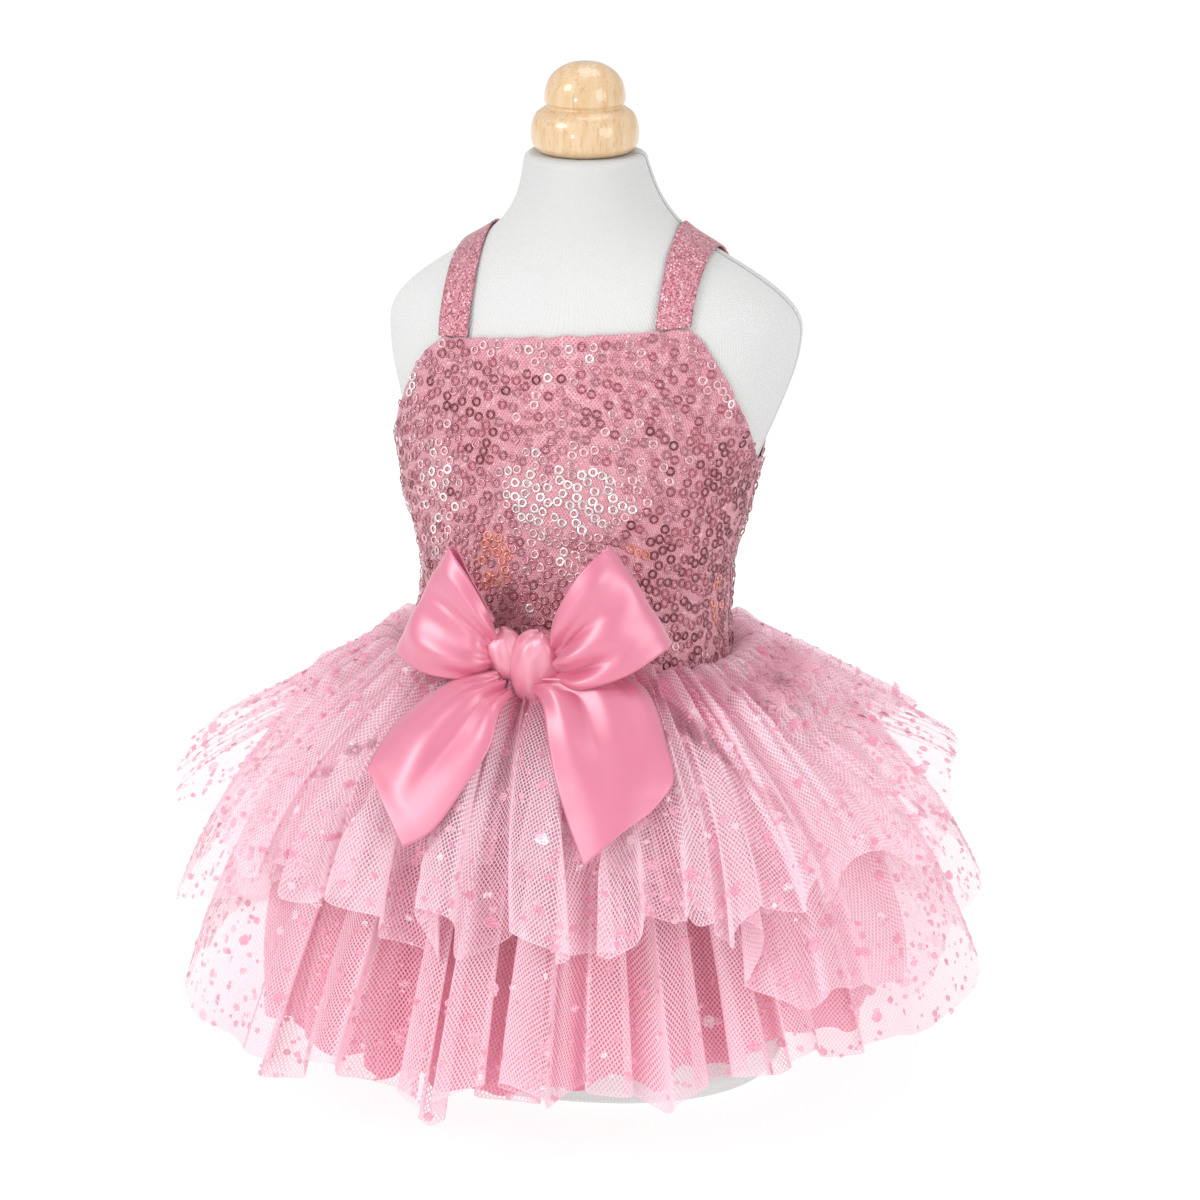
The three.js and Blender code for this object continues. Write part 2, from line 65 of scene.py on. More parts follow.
FORM = [
  {"z": 0,"yw": 0,"a": 78,"bf": 62,"bb": 58,"n": 2.3 },
  {"z": 8,"yw": 0,"a": 82,"bf": 66,"bb": 62,"n": 2.3 },
  {"z": 40,"yw": 0,"a": 82.5,"bf": 68,"bb": 63,"n": 2.3 },
  {"z": 80,"yw": -1,"a": 78,"bf": 67,"bb": 60,"n": 2.3 },
  {"z": 120,"yw": -4,"a": 70,"bf": 64,"bb": 52,"n": 2.2 },
  {"z": 150,"yw": -7,"a": 62.5,"bf": 60,"bb": 48,"n": 2.15 },
  {"z": 172,"yw": -9,"a": 59,"bf": 56,"bb": 48,"n": 2.15 },
  {"z": 190,"yw": -8,"a": 58,"bf": 54,"bb": 49,"n": 2.15 },
  {"z": 207,"yw": -7,"a": 58.5,"bf": 52,"bb": 50,"n": 2.15 },
  {"z": 228,"yw": -3,"a": 63.5,"bf": 51,"bb": 51,"n": 2.15 },
  {"z": 250,"yw": 2,"a": 68.3,"bf": 51,"bb": 51,"n": 2.2 },
  {"z": 275,"yw": 11,"a": 77.5,"bf": 52,"bb": 45,"n": 2.3 },
  {"z": 292,"yw": 16,"a": 82.5,"bf": 51.5,"bb": 40,"n": 2.3 },
  {"z": 304,"yw": 18,"a": 83.5,"bf": 50,"bb": 36,"n": 2.3 },
  {"z": 314,"yw": 18,"a": 76.5,"bf": 47,"bb": 33,"n": 2.2 },
  {"z": 322,"yw": 17,"a": 66,"bf": 43,"bb": 30,"n": 2.1 },
  {"z": 330,"yw": 15.5,"a": 53,"bf": 39,"bb": 27,"n": 2.0 },
  {"z": 340,"yw": 12.5,"a": 38,"bf": 35,"bb": 24,"n": 2.0 },
  {"z": 355,"yw": 7,"a": 28.2,"bf": 29.5,"bb": 22.5,"n": 2.0 },
  {"z": FORM_TOP,"yw": 0.5,"a": 23.6,"bf": 23.5,"bb": 22.5,"n": 2.0 },
]
KNOB = [
  {"r": 18.5,"z": 372.3 }, {"r": 20.4,"z": 375 }, {"r": 21.2,"z": 379 }, {"r": 20.9,"z": 383 },
  {"r": 19.3,"z": 387 },   {"r": 16.2,"z": 389.6 }, {"r": 15.4,"z": 390.6 }, {"r": 15.9,"z": 392 },
  {"r": 15.7,"z": 396 },   {"r": 14.2,"z": 400.5 }, {"r": 11.2,"z": 404 }, {"r": 6.5,"z": 406.6 },
]
KNOB_TOP = 407.3
STAND_OFF = [
  {"z": 166,"left": 9.5,"front": 2.5,"right": 0.6,"back": 2.0 },
  {"z": 185,"left": 5.5,"front": 1.8,"right": 0.4,"back": 1.6 },
  {"z": 205,"left": 2.6,"front": 0.8,"right": 0.4,"back": 1.0 },
  {"z": 250,"left": 5.4,"front": 0.4,"right": 0.4,"back": 0.8 },
  {"z": 282,"left": 1.6,"front": 0.3,"right": 0.3,"back": 0.4 },
  {"z": 330,"left": 0.2,"front": 0.2,"right": 0.2,"back": 0.2 },
]
ARMHOLE = [
  {"deg": 33,"left": None,"right": None },
  {"deg": 39,"left": 296,"right": 300 },
  {"deg": 46,"left": 287.5,"right": 290 },
  {"deg": 54,"left": 278,"right": 280 },
  {"deg": 63,"left": 268.5,"right": 271 },
  {"deg": 72,"left": 260,"right": 263 },
  {"deg": 81,"left": 254,"right": 256 },
  {"deg": 90,"left": SIDE_Z,"right": SIDE_Z },
]
FOLDS = [
  {"deg": 6,"ridge": 0.9,"fold": 0.8,"hem": 0.2 },
  {"deg": 25,"ridge": 0.7,"fold": 0.9,"hem": -0.6 },
  {"deg": 47,"ridge": 1.1,"fold": 0.7,"hem": 0.5 },
  {"deg": 66,"ridge": 0.8,"fold": 1.0,"hem": -0.2 },
  {"deg": 88,"ridge": 1.0,"fold": 0.8,"hem": 0.6 },
  {"deg": 107,"ridge": 0.8,"fold": 0.9,"hem": -0.5 },
  {"deg": 129,"ridge": 1.1,"fold": 0.8,"hem": 0.3 },
  {"deg": 148,"ridge": 0.8,"fold": 0.7,"hem": -0.4 },
  {"deg": 170,"ridge": 1.0,"fold": 0.9,"hem": 0.5 },
  {"deg": 190,"ridge": 0.8,"fold": 0.7,"hem": -0.5 },
  {"deg": 209,"ridge": 0.9,"fold": 1.0,"hem": 0.6 },
  {"deg": 228,"ridge": 0.7,"fold": 1.3,"hem": -0.3 },
  {"deg": 245,"ridge": 1.1,"fold": 0.8,"hem": 0.7 },
  {"deg": 262,"ridge": 0.9,"fold": 0.7,"hem": -0.6 },
  {"deg": 280,"ridge": 1.0,"fold": 1.2,"hem": 0.8 },
  {"deg": 299,"ridge": 0.8,"fold": 0.8,"hem": -1.0 },
  {"deg": 317,"ridge": 1.0,"fold": 0.9,"hem": 0.4 },
  {"deg": 340,"ridge": 0.8,"fold": 0.8,"hem": -0.4 },
]
LAYERS = [
  {"name": 'skirt_lining',"color": 0xe87f9d,"rough": 0.55,"rs": 129,"rf": 121,"rb": 120,"amp": 5.0,"jag": 2.0,"rows": 5,
    "side":  {"h1": 0.35,"z1": 140,"h2": 1.08,"z2": 88,"zh": 36 },
    "front": {"h1": 0.30,"z1": 142,"h2": 0.92,"z2": 92,"zh": 27 },
    "back":  {"h1": 0.35,"z1": 140,"h2": 1.04,"z2": 88,"zh": 32 } },
  {"name": 'tulle_lower',"color": 0xf3c3d0,"rough": 0.7,"rs": 163,"rf": 150,"rb": 152,"amp": 6.0,"jag": 4.0,"rows": 5,
    "side":  {"h1": 0.42,"z1": 150,"h2": 0.80,"z2": 96,"zh": 37 },
    "front": {"h1": 0.30,"z1": 152,"h2": 0.60,"z2": 110,"zh": 32 },
    "back":  {"h1": 0.40,"z1": 150,"h2": 0.78,"z2": 96,"zh": 34 } },
  {"name": 'tulle_middle',"color": 0xf5cbd6,"rough": 0.7,"rs": 164,"rf": 129,"rb": 153,"amp": 5.5,"jag": 4.0,"rows": 5,
    "side":  {"h1": 0.45,"z1": 163,"h2": 0.80,"z2": 122,"zh": 74 },
    "front": {"h1": 0.34,"z1": 162,"h2": 0.70,"z2": 136,"zh": 91 },
    "back":  {"h1": 0.42,"z1": 162,"h2": 0.80,"z2": 118,"zh": 76 } },
  {"name": 'tulle_upper',"color": 0xf6d2db,"rough": 0.7,"rs": 163,"rf": 134,"rb": 152,"amp": 5.0,"jag": 5.0,"rows": 5,
    "side":  {"h1": 0.33,"z1": 168,"h2": 0.66,"z2": 149,"zh": 127 },
    "front": {"h1": 0.42,"z1": 172,"h2": 0.88,"z2": 147,"zh": 98 },
    "back":  {"h1": 0.40,"z1": 169,"h2": 0.75,"z2": 144,"zh": 108 } },
]
TUCKS = [
  {"layer": 'tulle_lower',"deg": -50,"width": 28,"by": 18 },
  {"layer": 'skirt_lining',"deg": -48,"width": 28,"by": 9 },
  {"layer": 'tulle_middle',"deg": 8,"width": 30,"by": 3 },
  {"layer": 'tulle_upper',"deg": 4,"width": 30,"by": 13 },
]
LEAN = 5
KNOT = {"x": -2,"y": -80.3,"z": 189.3,"rx": 11.2,"ry": 7.6,"rz": 9.3 }
LOOP_LEFT = [
  {"ux": -11.5,"uy": -3,"uz": 6,"lx": -11.5,"ly": -3,"lz": -5 },
  {"ux": -18,"uy": -10,"uz": 18,"lx": -23,"ly": -11,"lz": -6 },
  {"ux": -25,"uy": -9,"uz": 32,"lx": -38,"ly": -10,"lz": -5 },
  {"ux": -30,"uy": -1,"uz": 41,"lx": -51,"ly": -1,"lz": -2 },
  {"ux": -29,"uy": 7,"uz": 41,"lx": -52,"ly": 9,"lz": 0 },
  {"ux": -21,"uy": 9,"uz": 31,"lx": -38,"ly": 8,"lz": 1 },
  {"ux": -12.5,"uy": 6,"uz": 15,"lx": -22,"ly": 6,"lz": -1 },
]
LOOP_RIGHT = [
  {"ux": 11.5,"uy": -3,"uz": 6,"lx": 11.5,"ly": -3,"lz": -5 },
  {"ux": 17,"uy": -11,"uz": 20,"lx": 24,"ly": -12,"lz": -5 },
  {"ux": 25,"uy": -10,"uz": 36,"lx": 42,"ly": -11,"lz": 0 },
  {"ux": 33,"uy": -1,"uz": 46,"lx": 56,"ly": 0,"lz": 8 },
  {"ux": 32,"uy": 7,"uz": 45,"lx": 55,"ly": 10,"lz": 9 },
  {"ux": 22,"uy": 9,"uz": 33,"lx": 40,"ly": 9,"lz": 4 },
  {"ux": 13,"uy": 6,"uz": 16,"lx": 22,"ly": 6,"lz": 0 },
]
TAIL_LEFT = [
  {"ux": -8,"uy": -8.5,"uz": -11.5,"lx": -3,"ly": -10,"lz": -13,"crown": 0 },
  {"ux": -31.5,"uy": -12,"uz": -10.5,"lx": -3.6,"ly": -24.5,"lz": -15.5,"crown": 3 },
  {"ux": -44.2,"uy": -20.5,"uz": -22.3,"lx": -4.9,"ly": -33.5,"lz": -26.5,"crown": 3 },
  {"ux": -49.2,"uy": -26.5,"uz": -29.5,"lx": -11.6,"ly": -43.2,"lz": -38.9,"crown": 3 },
  {"ux": -52,"uy": -32,"uz": -35,"lx": -22.6,"ly": -53,"lz": -55.4,"crown": 3 },
  {"ux": -53.3,"uy": -34.8,"uz": -38.6,"lx": -33.6,"ly": -55,"lz": -62.2,"crown": 2 },
]
TAIL_RIGHT = [
  {"ux": 3.5,"uy": -10,"uz": -13,"lx": 9,"ly": -8.5,"lz": -11.5,"crown": 0 },
  {"ux": 11,"uy": -17.5,"uz": -12,"lx": 45,"ly": -2,"lz": -6.5,"crown": 5 },
  {"ux": 17,"uy": -30,"uz": -24,"lx": 61,"ly": -19,"lz": -26.4,"crown": 4 },
  {"ux": 23.2,"uy": -41,"uz": -36.6,"lx": 65.5,"ly": -26.5,"lz": -35.8,"crown": 3.5 },
  {"ux": 30,"uy": -48.5,"uz": -49.5,"lx": 63,"ly": -32.5,"lz": -41.5,"crown": 3 },
  {"ux": 38.3,"uy": -56.5,"uz": -63.2,"lx": 58.5,"ly": -39.5,"lz": -46.4,"crown": 2 },
]

# ---------------------------------------------------------------- shapes shared with the CAD part
MM = 0.001
PI = math.pi


def spow(v, p):
    return np.sign(v) * np.abs(v) ** p


def column(table, key, z, by="z"):
    X = np.array([r[by] for r in table], float)
    Y = np.array([r[key] for r in table], float)
    z = np.clip(np.asarray(z, float), X[0], X[-1])
    n = len(X)
    i = np.clip(np.searchsorted(X, z, side="left") - 1, 0, n - 2)
    S = np.diff(Y) / np.diff(X)
    M = np.empty(n)
    M[0], M[-1] = S[0], S[-1]
    for k in range(1, n - 1):
        M[k] = 0 if S[k - 1] * S[k] <= 0 else 2 * S[k - 1] * S[k] / (S[k - 1] + S[k])
    h = X[i + 1] - X[i]
    t = (z - X[i]) / h
    t2, t3 = t * t, t * t * t
    return ((2 * t3 - 3 * t2 + 1) * Y[i] + (t3 - 2 * t2 + t) * h * M[i]
            + (-2 * t3 + 3 * t2) * Y[i + 1] + (t3 - t2) * h * M[i + 1])


def form_point(z, t, off=0.0):
    z, t = np.broadcast_arrays(np.asarray(z, float), np.asarray(t, float))
    a = column(FORM, "a", z) + off
    n = column(FORM, "n", z)
    b = np.where(np.sin(t) < 0, column(FORM, "bf", z), column(FORM, "bb", z)) + off
    return np.stack([a * spow(np.cos(t), 2 / n),
                     column(FORM, "yw", z) + b * spow(np.sin(t), 2 / n), z], -1)


def sides(t):
    c, s = np.cos(t), np.sin(t)
    return {"left": np.where(c < 0, c * c, 0), "right": np.where(c >= 0, c * c, 0),
            "front": np.where(s < 0, s * s, 0), "back": np.where(s >= 0, s * s, 0)}


def stand_off(z, t):
    w = sides(t)
    return sum(w[k] * column(STAND_OFF, k, z) for k in ("left", "front", "right", "back"))


def waist_z(t):
    return WAIST_Z + WAIST_RISE * sides(t)["front"] ** 1.5


def bodice_point(z, t, off=0.0):
    return form_point(z, t, CLEAR + CLOTH / 2 + stand_off(z, t) + off)


def front_top(t, x):
    deg = np.abs(np.degrees(t) + 90)
    left, right = STRAP_IN_LEFT + STRAP_WIDTH, STRAP_IN_RIGHT + STRAP_WIDTH
    out = NECK_Z + NECK_TILT * np.clip(x, -left, right)
    for key, sel in (("left", t < -PI / 2), ("right", t >= -PI / 2)):
        corner = NECK_Z + NECK_TILT * (-left if key == "left" else right)
        rows = [{"deg": r["deg"], "z": corner if r[key] is None else r[key]} for r in ARMHOLE]
        arm = column(rows, "z", deg, "deg")
        out = np.where(sel & (deg > ARMHOLE[0]["deg"]), arm, out)
    return out


def back_top(t):
    rise = np.clip((np.sin(t) - 0.15) / 0.5, 0, 1)
    return SIDE_Z + (BACK_TOP - SIDE_Z) * rise * rise * (3 - 2 * rise)


def fold_at(t):
    d = np.degrees(np.asarray(t, float)) % 360
    A = [f["deg"] for f in FOLDS]
    n = len(A)
    d = np.where(d < A[0], d + 360, d)
    X = np.array(A + [A[0] + 360.0])
    i = np.clip(np.searchsorted(X, d, side="left") - 1, 0, n - 1)
    q = (d - X[i]) / (X[i + 1] - X[i])
    s = (1 - np.cos(2 * PI * q)) / 2
    R = np.array([f["ridge"] for f in FOLDS] + [FOLDS[0]["ridge"]])
    F = np.array([f["fold"] for f in FOLDS])
    H = np.array([f["hem"] for f in FOLDS] + [FOLDS[0]["hem"]])
    ridge = R[i] + (R[i + 1] - R[i]) * q
    return ridge + (-F[i] - ridge) * s, H[i] + (H[i + 1] - H[i]) * (1 - np.cos(PI * q)) / 2


def layer_point(k, t, s, amp=1.0):
    L = LAYERS[k]
    t, s = np.broadcast_arrays(np.asarray(t, float), np.asarray(s, float))
    w = sides(t)
    sd = w["left"] + w["right"]

    def g(key):
        return sd * L["side"][key] + w["front"] * L["front"][key] + w["back"] * L["back"][key]

    z0 = waist_z(t) - 0.8 - (len(LAYERS) - 1 - k) * LAYER_DROP
    p0 = form_point(z0, t, CLEAR + CLOTH / 2 + stand_off(z0, t) + (k - 0.5) * LAYER_STEP)
    fr, fh = fold_at(t)
    r1 = sd * L["rs"] + w["front"] * L["rf"] + w["back"] * L["rb"]
    for T in TUCKS:
        if T["layer"] == L["name"]:
            aw = (np.degrees(t) - T["deg"]) % 360
            aw = np.where(aw > 180, aw - 360, aw)
            r1 = r1 - T["by"] * np.exp(-(aw / T["width"]) ** 2)
    q = 1 - s
    h = 3 * q * q * s * g("h1") + 3 * q * s * s * g("h2") + s ** 3
    z = (q ** 3 * z0 + 3 * q * q * s * g("z1") + 3 * q * s * s * g("z2")
         + s ** 3 * (g("zh") + L["jag"] * fh) + LEAN * np.cos(t) * s * s)
    hx, hy = r1 * np.cos(t), SKIRT_CENTRE_Y + r1 * np.sin(t)
    out = amp * L["amp"] * fr * s * (0.35 + 0.65 * s)
    x = p0[..., 0] + (hx - p0[..., 0]) * h + out * np.cos(t)
    y = p0[..., 1] + (hy - p0[..., 1]) * h + out * np.sin(t)
    return np.stack([x, y, z], -1)


def ridge_z(x):
    z = np.linspace(300, FORM_TOP, 1500)
    a = column(FORM, "a", z)
    return np.interp(-np.asarray(x, float), -a, z)


def strap_point(side, x, u, off):
    x, u = np.broadcast_arrays(np.asarray(x, float), np.asarray(u, float))
    zr = ridge_z(x)
    front = NECK_Z + side * NECK_TILT * x + FOOT_FRONT
    back = BACK_TOP + FOOT_BACK

    def at(v):
        f = v < 0.5
        w = np.where(f, v / 0.5, (1 - v) / 0.5)
        z = np.where(f, front, back) + (zr - np.where(f, front, back)) * np.sin(w * PI / 2)
        a, n = column(FORM, "a", z), column(FORM, "n", z)
        b = np.where(f, column(FORM, "bf", z), column(FORM, "bb", z))
        k = np.maximum(0, 1 - np.minimum(1, x / a) ** n) ** (1 / n)
        return np.stack([side * x, column(FORM, "yw", z) + np.where(f, -b, b) * k, z], -1)

    p, e = at(u), 0.004
    d = at(np.minimum(1, u + e)) - at(np.maximum(0, u - e))
    d /= np.linalg.norm(d, axis=-1, keepdims=True)
    o = np.stack([side * 0.62 * np.sin(u * PI) ** 3, -d[..., 2], d[..., 1]], -1)
    o /= np.linalg.norm(o, axis=-1, keepdims=True)
    return p + o * np.asarray(off)[..., None]


def catmull(points, u):
    """Centripetal Catmull-Rom through points, at the parts u of its spans, as three.js has it."""
    P = np.asarray(points, float)
    n = len(P)
    out = np.empty((len(u), 3))
    for j, uu in enumerate(u):
        p = (n - 1) * uu
        i = min(int(math.floor(p)), n - 2)
        w = p - i
        p1, p2 = P[i], P[i + 1]
        p0 = P[i - 1] if i > 0 else 2 * P[0] - P[1]
        p3 = P[i + 2] if i + 2 < n else 2 * P[n - 1] - P[n - 2]
        d0 = max(np.dot(p0 - p1, p0 - p1) ** 0.25, 1e-4)
        d1 = max(np.dot(p1 - p2, p1 - p2) ** 0.25, 1e-4)
        d2 = max(np.dot(p2 - p3, p2 - p3) ** 0.25, 1e-4)
        t1 = ((p1 - p0) / d0 - (p2 - p0) / (d0 + d1) + (p2 - p1) / d1) * d1
        t2 = ((p2 - p1) / d1 - (p3 - p1) / (d1 + d2) + (p3 - p2) / d2) * d1
        c2 = -3 * p1 + 3 * p2 - 2 * t1 - t2
        c3 = 2 * p1 - 2 * p2 + t1 + t2
        out[j] = p1 + t1 * w + c2 * w * w + c3 * w ** 3
    return out


def ribbon_grid(rows, along, across):
    k = np.array([KNOT["x"], KNOT["y"], KNOT["z"]])
    up = [k + [r["ux"], r["uy"], r["uz"]] for r in rows]
    low = [k + [r["lx"], r["ly"], r["lz"]] for r in rows]
    u = np.linspace(0, 1, along)
    A, B = catmull(up, u), catmull(low, u)
    crown = column([{"k": i, "crown": r.get("crown", 0)} for i, r in enumerate(rows)],
                   "crown", u * (len(rows) - 1), "k")
    q = np.linspace(0, 1, across)
    G = A[:, None] + (B - A)[:, None] * q[None, :, None]
    lift = 4 * q * (1 - q) * crown[:, None]
    return G + lift[..., None] * np.array([0, -0.85, 0.5])


# ---------------------------------------------------------------- mesh helpers
def normals(P, closed=False):
    if closed:
        du = np.roll(P, -1, 0) - np.roll(P, 1, 0)
    else:
        du = np.gradient(P, axis=0)
    dv = np.gradient(P, axis=1)
    n = np.cross(du, dv)
    n /= np.maximum(np.linalg.norm(n, axis=-1, keepdims=True), 1e-9)
    return n


def raw_mesh(name, V, F, uv_loops=None, mats=()):
    """V in mm, F quads or triangles as one array, uv_loops (faces, corners, 2)."""
    me = bpy.data.meshes.new(name)
    nf, nc = F.shape
    me.vertices.add(len(V))
    me.vertices.foreach_set("co", (np.asarray(V, np.float32) * MM).ravel())
    me.loops.add(nf * nc)
    me.loops.foreach_set("vertex_index", F.astype(np.int32).ravel())
    me.polygons.add(nf)
    me.polygons.foreach_set("loop_start", np.arange(0, nf * nc, nc, dtype=np.int32))
    me.polygons.foreach_set("loop_total", np.full(nf, nc, np.int32))
    me.polygons.foreach_set("use_smooth", np.ones(nf, bool))
    me.update(calc_edges=True)
    if uv_loops is not None:
        layer = me.uv_layers.new(name="UVMap")
        layer.data.foreach_set("uv", np.asarray(uv_loops, np.float32).ravel())
    me.validate()
    ob = bpy.data.objects.new(name, me)
    bpy.context.scene.collection.objects.link(ob)
    for m in mats:
        me.materials.append(m)
    return ob


def grid_mesh(name, P, uv, mat, closed=False, out=None, caps=False):
    """Quad mesh on a grid P [u][v] in mm. uv has one more row than P when closed.
    out: points in mm that the faces turn away from (default: the upright axis)."""
    nu, nv = P.shape[:2]
    lu = nu if closed else nu - 1
    i, j = np.meshgrid(np.arange(lu), np.arange(nv - 1), indexing="ij")
    i2 = (i + 1) % nu
    a, b, c, d = i * nv + j, i2 * nv + j, i2 * nv + j + 1, i * nv + j + 1
    N = normals(P, closed)
    ref = P.copy()
    if out is None:
        ref[..., 2] = 0
    else:
        ref = P - np.asarray(out, float)
    flip = (N * ref).sum() < 0
    F = np.stack([a, b, c, d] if not flip else [a, d, c, b], -1).reshape(-1, 4)
    ui = i + 1
    ca, cb, cc, cd = uv[i, j], uv[ui, j], uv[ui, j + 1], uv[i, j + 1]
    L = np.stack([ca, cb, cc, cd] if not flip else [ca, cd, cc, cb], 2).reshape(-1, 4, 2)
    return raw_mesh(name, P.reshape(-1, 3), F, L, (mat,))


def thicken(ob, mm, offset=-1.0):
    m = ob.modifiers.new("Thickness", "SOLIDIFY")
    m.thickness = mm * MM
    m.offset = offset
    m.use_even_offset = False
    return m


class Ring:
    """Smooth noise round a circle, about -1 to 1, from a few seeded waves."""

    def __init__(self, seed, lo, hi):
        r = np.random.default_rng(seed)
        self.k = np.arange(lo, hi + 1)
        self.p = r.uniform(0, 2 * PI, len(self.k))
        self.c = r.uniform(0.4, 1.0, len(self.k))
        self.n = 1.9 / np.sqrt((self.c ** 2).sum() * 1.0)

    def __call__(self, t):
        t = np.asarray(t, float)
        s = np.zeros(t.shape)
        for k, p, c in zip(self.k, self.p, self.c):
            s += c * np.cos(k * t + p)
        return np.clip(s * self.n * 0.72, -1.25, 1.25)


def ss(x, a, b):
    q = np.clip((np.asarray(x, float) - a) / (b - a), 0, 1)
    return q * q * (3 - 2 * q)


def bump_at(x, c, w):
    return np.exp(-((np.asarray(x, float) - c) / w) ** 2)

# ---------------------------------------------------------------- materials
class Nodes:
    def __init__(self, name):
        self.mat = bpy.data.materials.new(name)
        self.mat.use_nodes = True
        self.t = self.mat.node_tree
        self.bsdf = self.t.nodes["Principled BSDF"]

    def new(self, kind, **at):
        n = self.t.nodes.new(kind)
        for k, v in at.items():
            setattr(n, k, v)
        return n

    def put(self, node, **values):
        for k, v in values.items():
            s = node.inputs[k.replace("_", " ")] if isinstance(k, str) and k.replace("_", " ") in node.inputs else node.inputs[int(k[1:])]
            if isinstance(v, bpy.types.NodeSocket):
                self.t.links.new(v, s)
            else:
                s.default_value = v
        return node

    def math(self, op, a, b=None, c=None, clamp=False):
        n = self.new("ShaderNodeMath", operation=op, use_clamp=clamp)
        for i, v in enumerate((a, b, c)):
            if v is None:
                continue
            if isinstance(v, bpy.types.NodeSocket):
                self.t.links.new(v, n.inputs[i])
            else:
                n.inputs[i].default_value = v
        return n.outputs[0]

    def set(self, socket, value):
        s = self.bsdf.inputs[socket]
        if isinstance(value, bpy.types.NodeSocket):
            self.t.links.new(value, s)
        else:
            s.default_value = value

    def coords(self, which="UV"):
        if not hasattr(self, "_tc"):
            self._tc = self.new("ShaderNodeTexCoord")
        return self._tc.outputs[which]

    def noise(self, scale, detail=2.0, vector=None, rough=0.5, which="Object", distortion=0.0):
        n = self.new("ShaderNodeTexNoise")
        self.t.links.new(vector or self.coords(which), n.inputs["Vector"])
        n.inputs["Scale"].default_value = scale
        n.inputs["Detail"].default_value = detail
        n.inputs["Roughness"].default_value = rough
        n.inputs["Distortion"].default_value = distortion
        return n.outputs["Fac"]

    def voronoi(self, scale, vector=None, which="Object", feature="F1", out="Distance"):
        n = self.new("ShaderNodeTexVoronoi", feature=feature)
        self.t.links.new(vector or self.coords(which), n.inputs["Vector"])
        n.inputs["Scale"].default_value = scale
        return n.outputs[out]

    def ramp(self, fac, stops, interp="LINEAR"):
        n = self.new("ShaderNodeValToRGB")
        self.t.links.new(fac, n.inputs[0])
        cr = n.color_ramp
        cr.interpolation = interp
        while len(cr.elements) < len(stops):
            cr.elements.new(0.5)
        for e, (p, c) in zip(cr.elements, stops):
            e.position = p
            e.color = (c[0], c[1], c[2], 1) if len(c) == 3 else c
        return n.outputs[0]

    def mix(self, fac, a, b, blend="MIX"):
        n = self.new("ShaderNodeMix", data_type="RGBA", blend_type=blend)
        for s, v in ((n.inputs[0], fac), (n.inputs[6], a), (n.inputs[7], b)):
            if isinstance(v, bpy.types.NodeSocket):
                self.t.links.new(v, s)
            else:
                s.default_value = v if isinstance(v, (int, float)) else (v[0], v[1], v[2], 1)
        return n.outputs[2]

    def bump(self, height, strength=1.0, distance=0.0002, normal=None):
        n = self.new("ShaderNodeBump")
        self.t.links.new(height, n.inputs["Height"])
        n.inputs["Strength"].default_value = strength
        n.inputs["Distance"].default_value = distance
        if normal is not None:
            self.t.links.new(normal, n.inputs["Normal"])
        return n.outputs[0]

    def split(self, vec):
        n = self.new("ShaderNodeSeparateXYZ")
        self.t.links.new(vec, n.inputs[0])
        return n.outputs

    def wave01(self, x, period):
        """sin wave 0..1 along x with that period in metres."""
        s = self.math("SINE", self.math("MULTIPLY", x, 2 * PI / period))
        return self.math("MULTIPLY_ADD", s, 0.5, 0.5)


def mat_jersey():
    m = Nodes("white_jersey")
    u, v, _ = m.split(m.coords("UV"))[:3]
    wob = m.noise(60, 2)
    uw = m.math("ADD", u, m.math("MULTIPLY", wob, 0.0012))
    rib = m.wave01(uw, 0.00135)
    loop = m.wave01(m.math("ADD", v, m.math("MULTIPLY", rib, 0.0004)), 0.0010)
    soft = m.noise(14, 3)
    slub = m.noise(520, 3)
    base = m.mix(soft, (0.715, 0.715, 0.71), (0.765, 0.765, 0.76))
    base = m.mix(m.math("MULTIPLY", m.math("SUBTRACT", 1.0, rib), 0.14), base, (0.52, 0.52, 0.53))
    base = m.mix(m.math("MULTIPLY", slub, 0.12), base, (0.60, 0.60, 0.60))
    # the cover's two side seams
    off = m.math("PINGPONG", m.math("ADD", u, m.math("MULTIPLY", wob, 0.0006)), 0.115)
    seam = m.math("SUBTRACT", 1.0, m.math("MULTIPLY", off, 1 / 0.0012), clamp=True)
    base = m.mix(m.math("MULTIPLY", seam, 0.30), base, (0.50, 0.50, 0.505))
    m.set("Base Color", base)
    m.set("Roughness", 0.92)
    m.set("Sheen Weight", 0.2)
    m.set("Sheen Roughness", 0.5)
    m.set("Specular IOR Level", 0.2)
    h = m.math("ADD", m.math("ADD", rib, m.math("MULTIPLY", loop, 0.35)), m.math("MULTIPLY", slub, 0.5))
    deep = m.math("SUBTRACT", 1.0, seam)
    m.set("Normal", m.bump(h, 0.75, 0.00018, m.bump(deep, 0.9, 0.0009, m.bump(soft, 0.25, 0.0015))))
    return m.mat


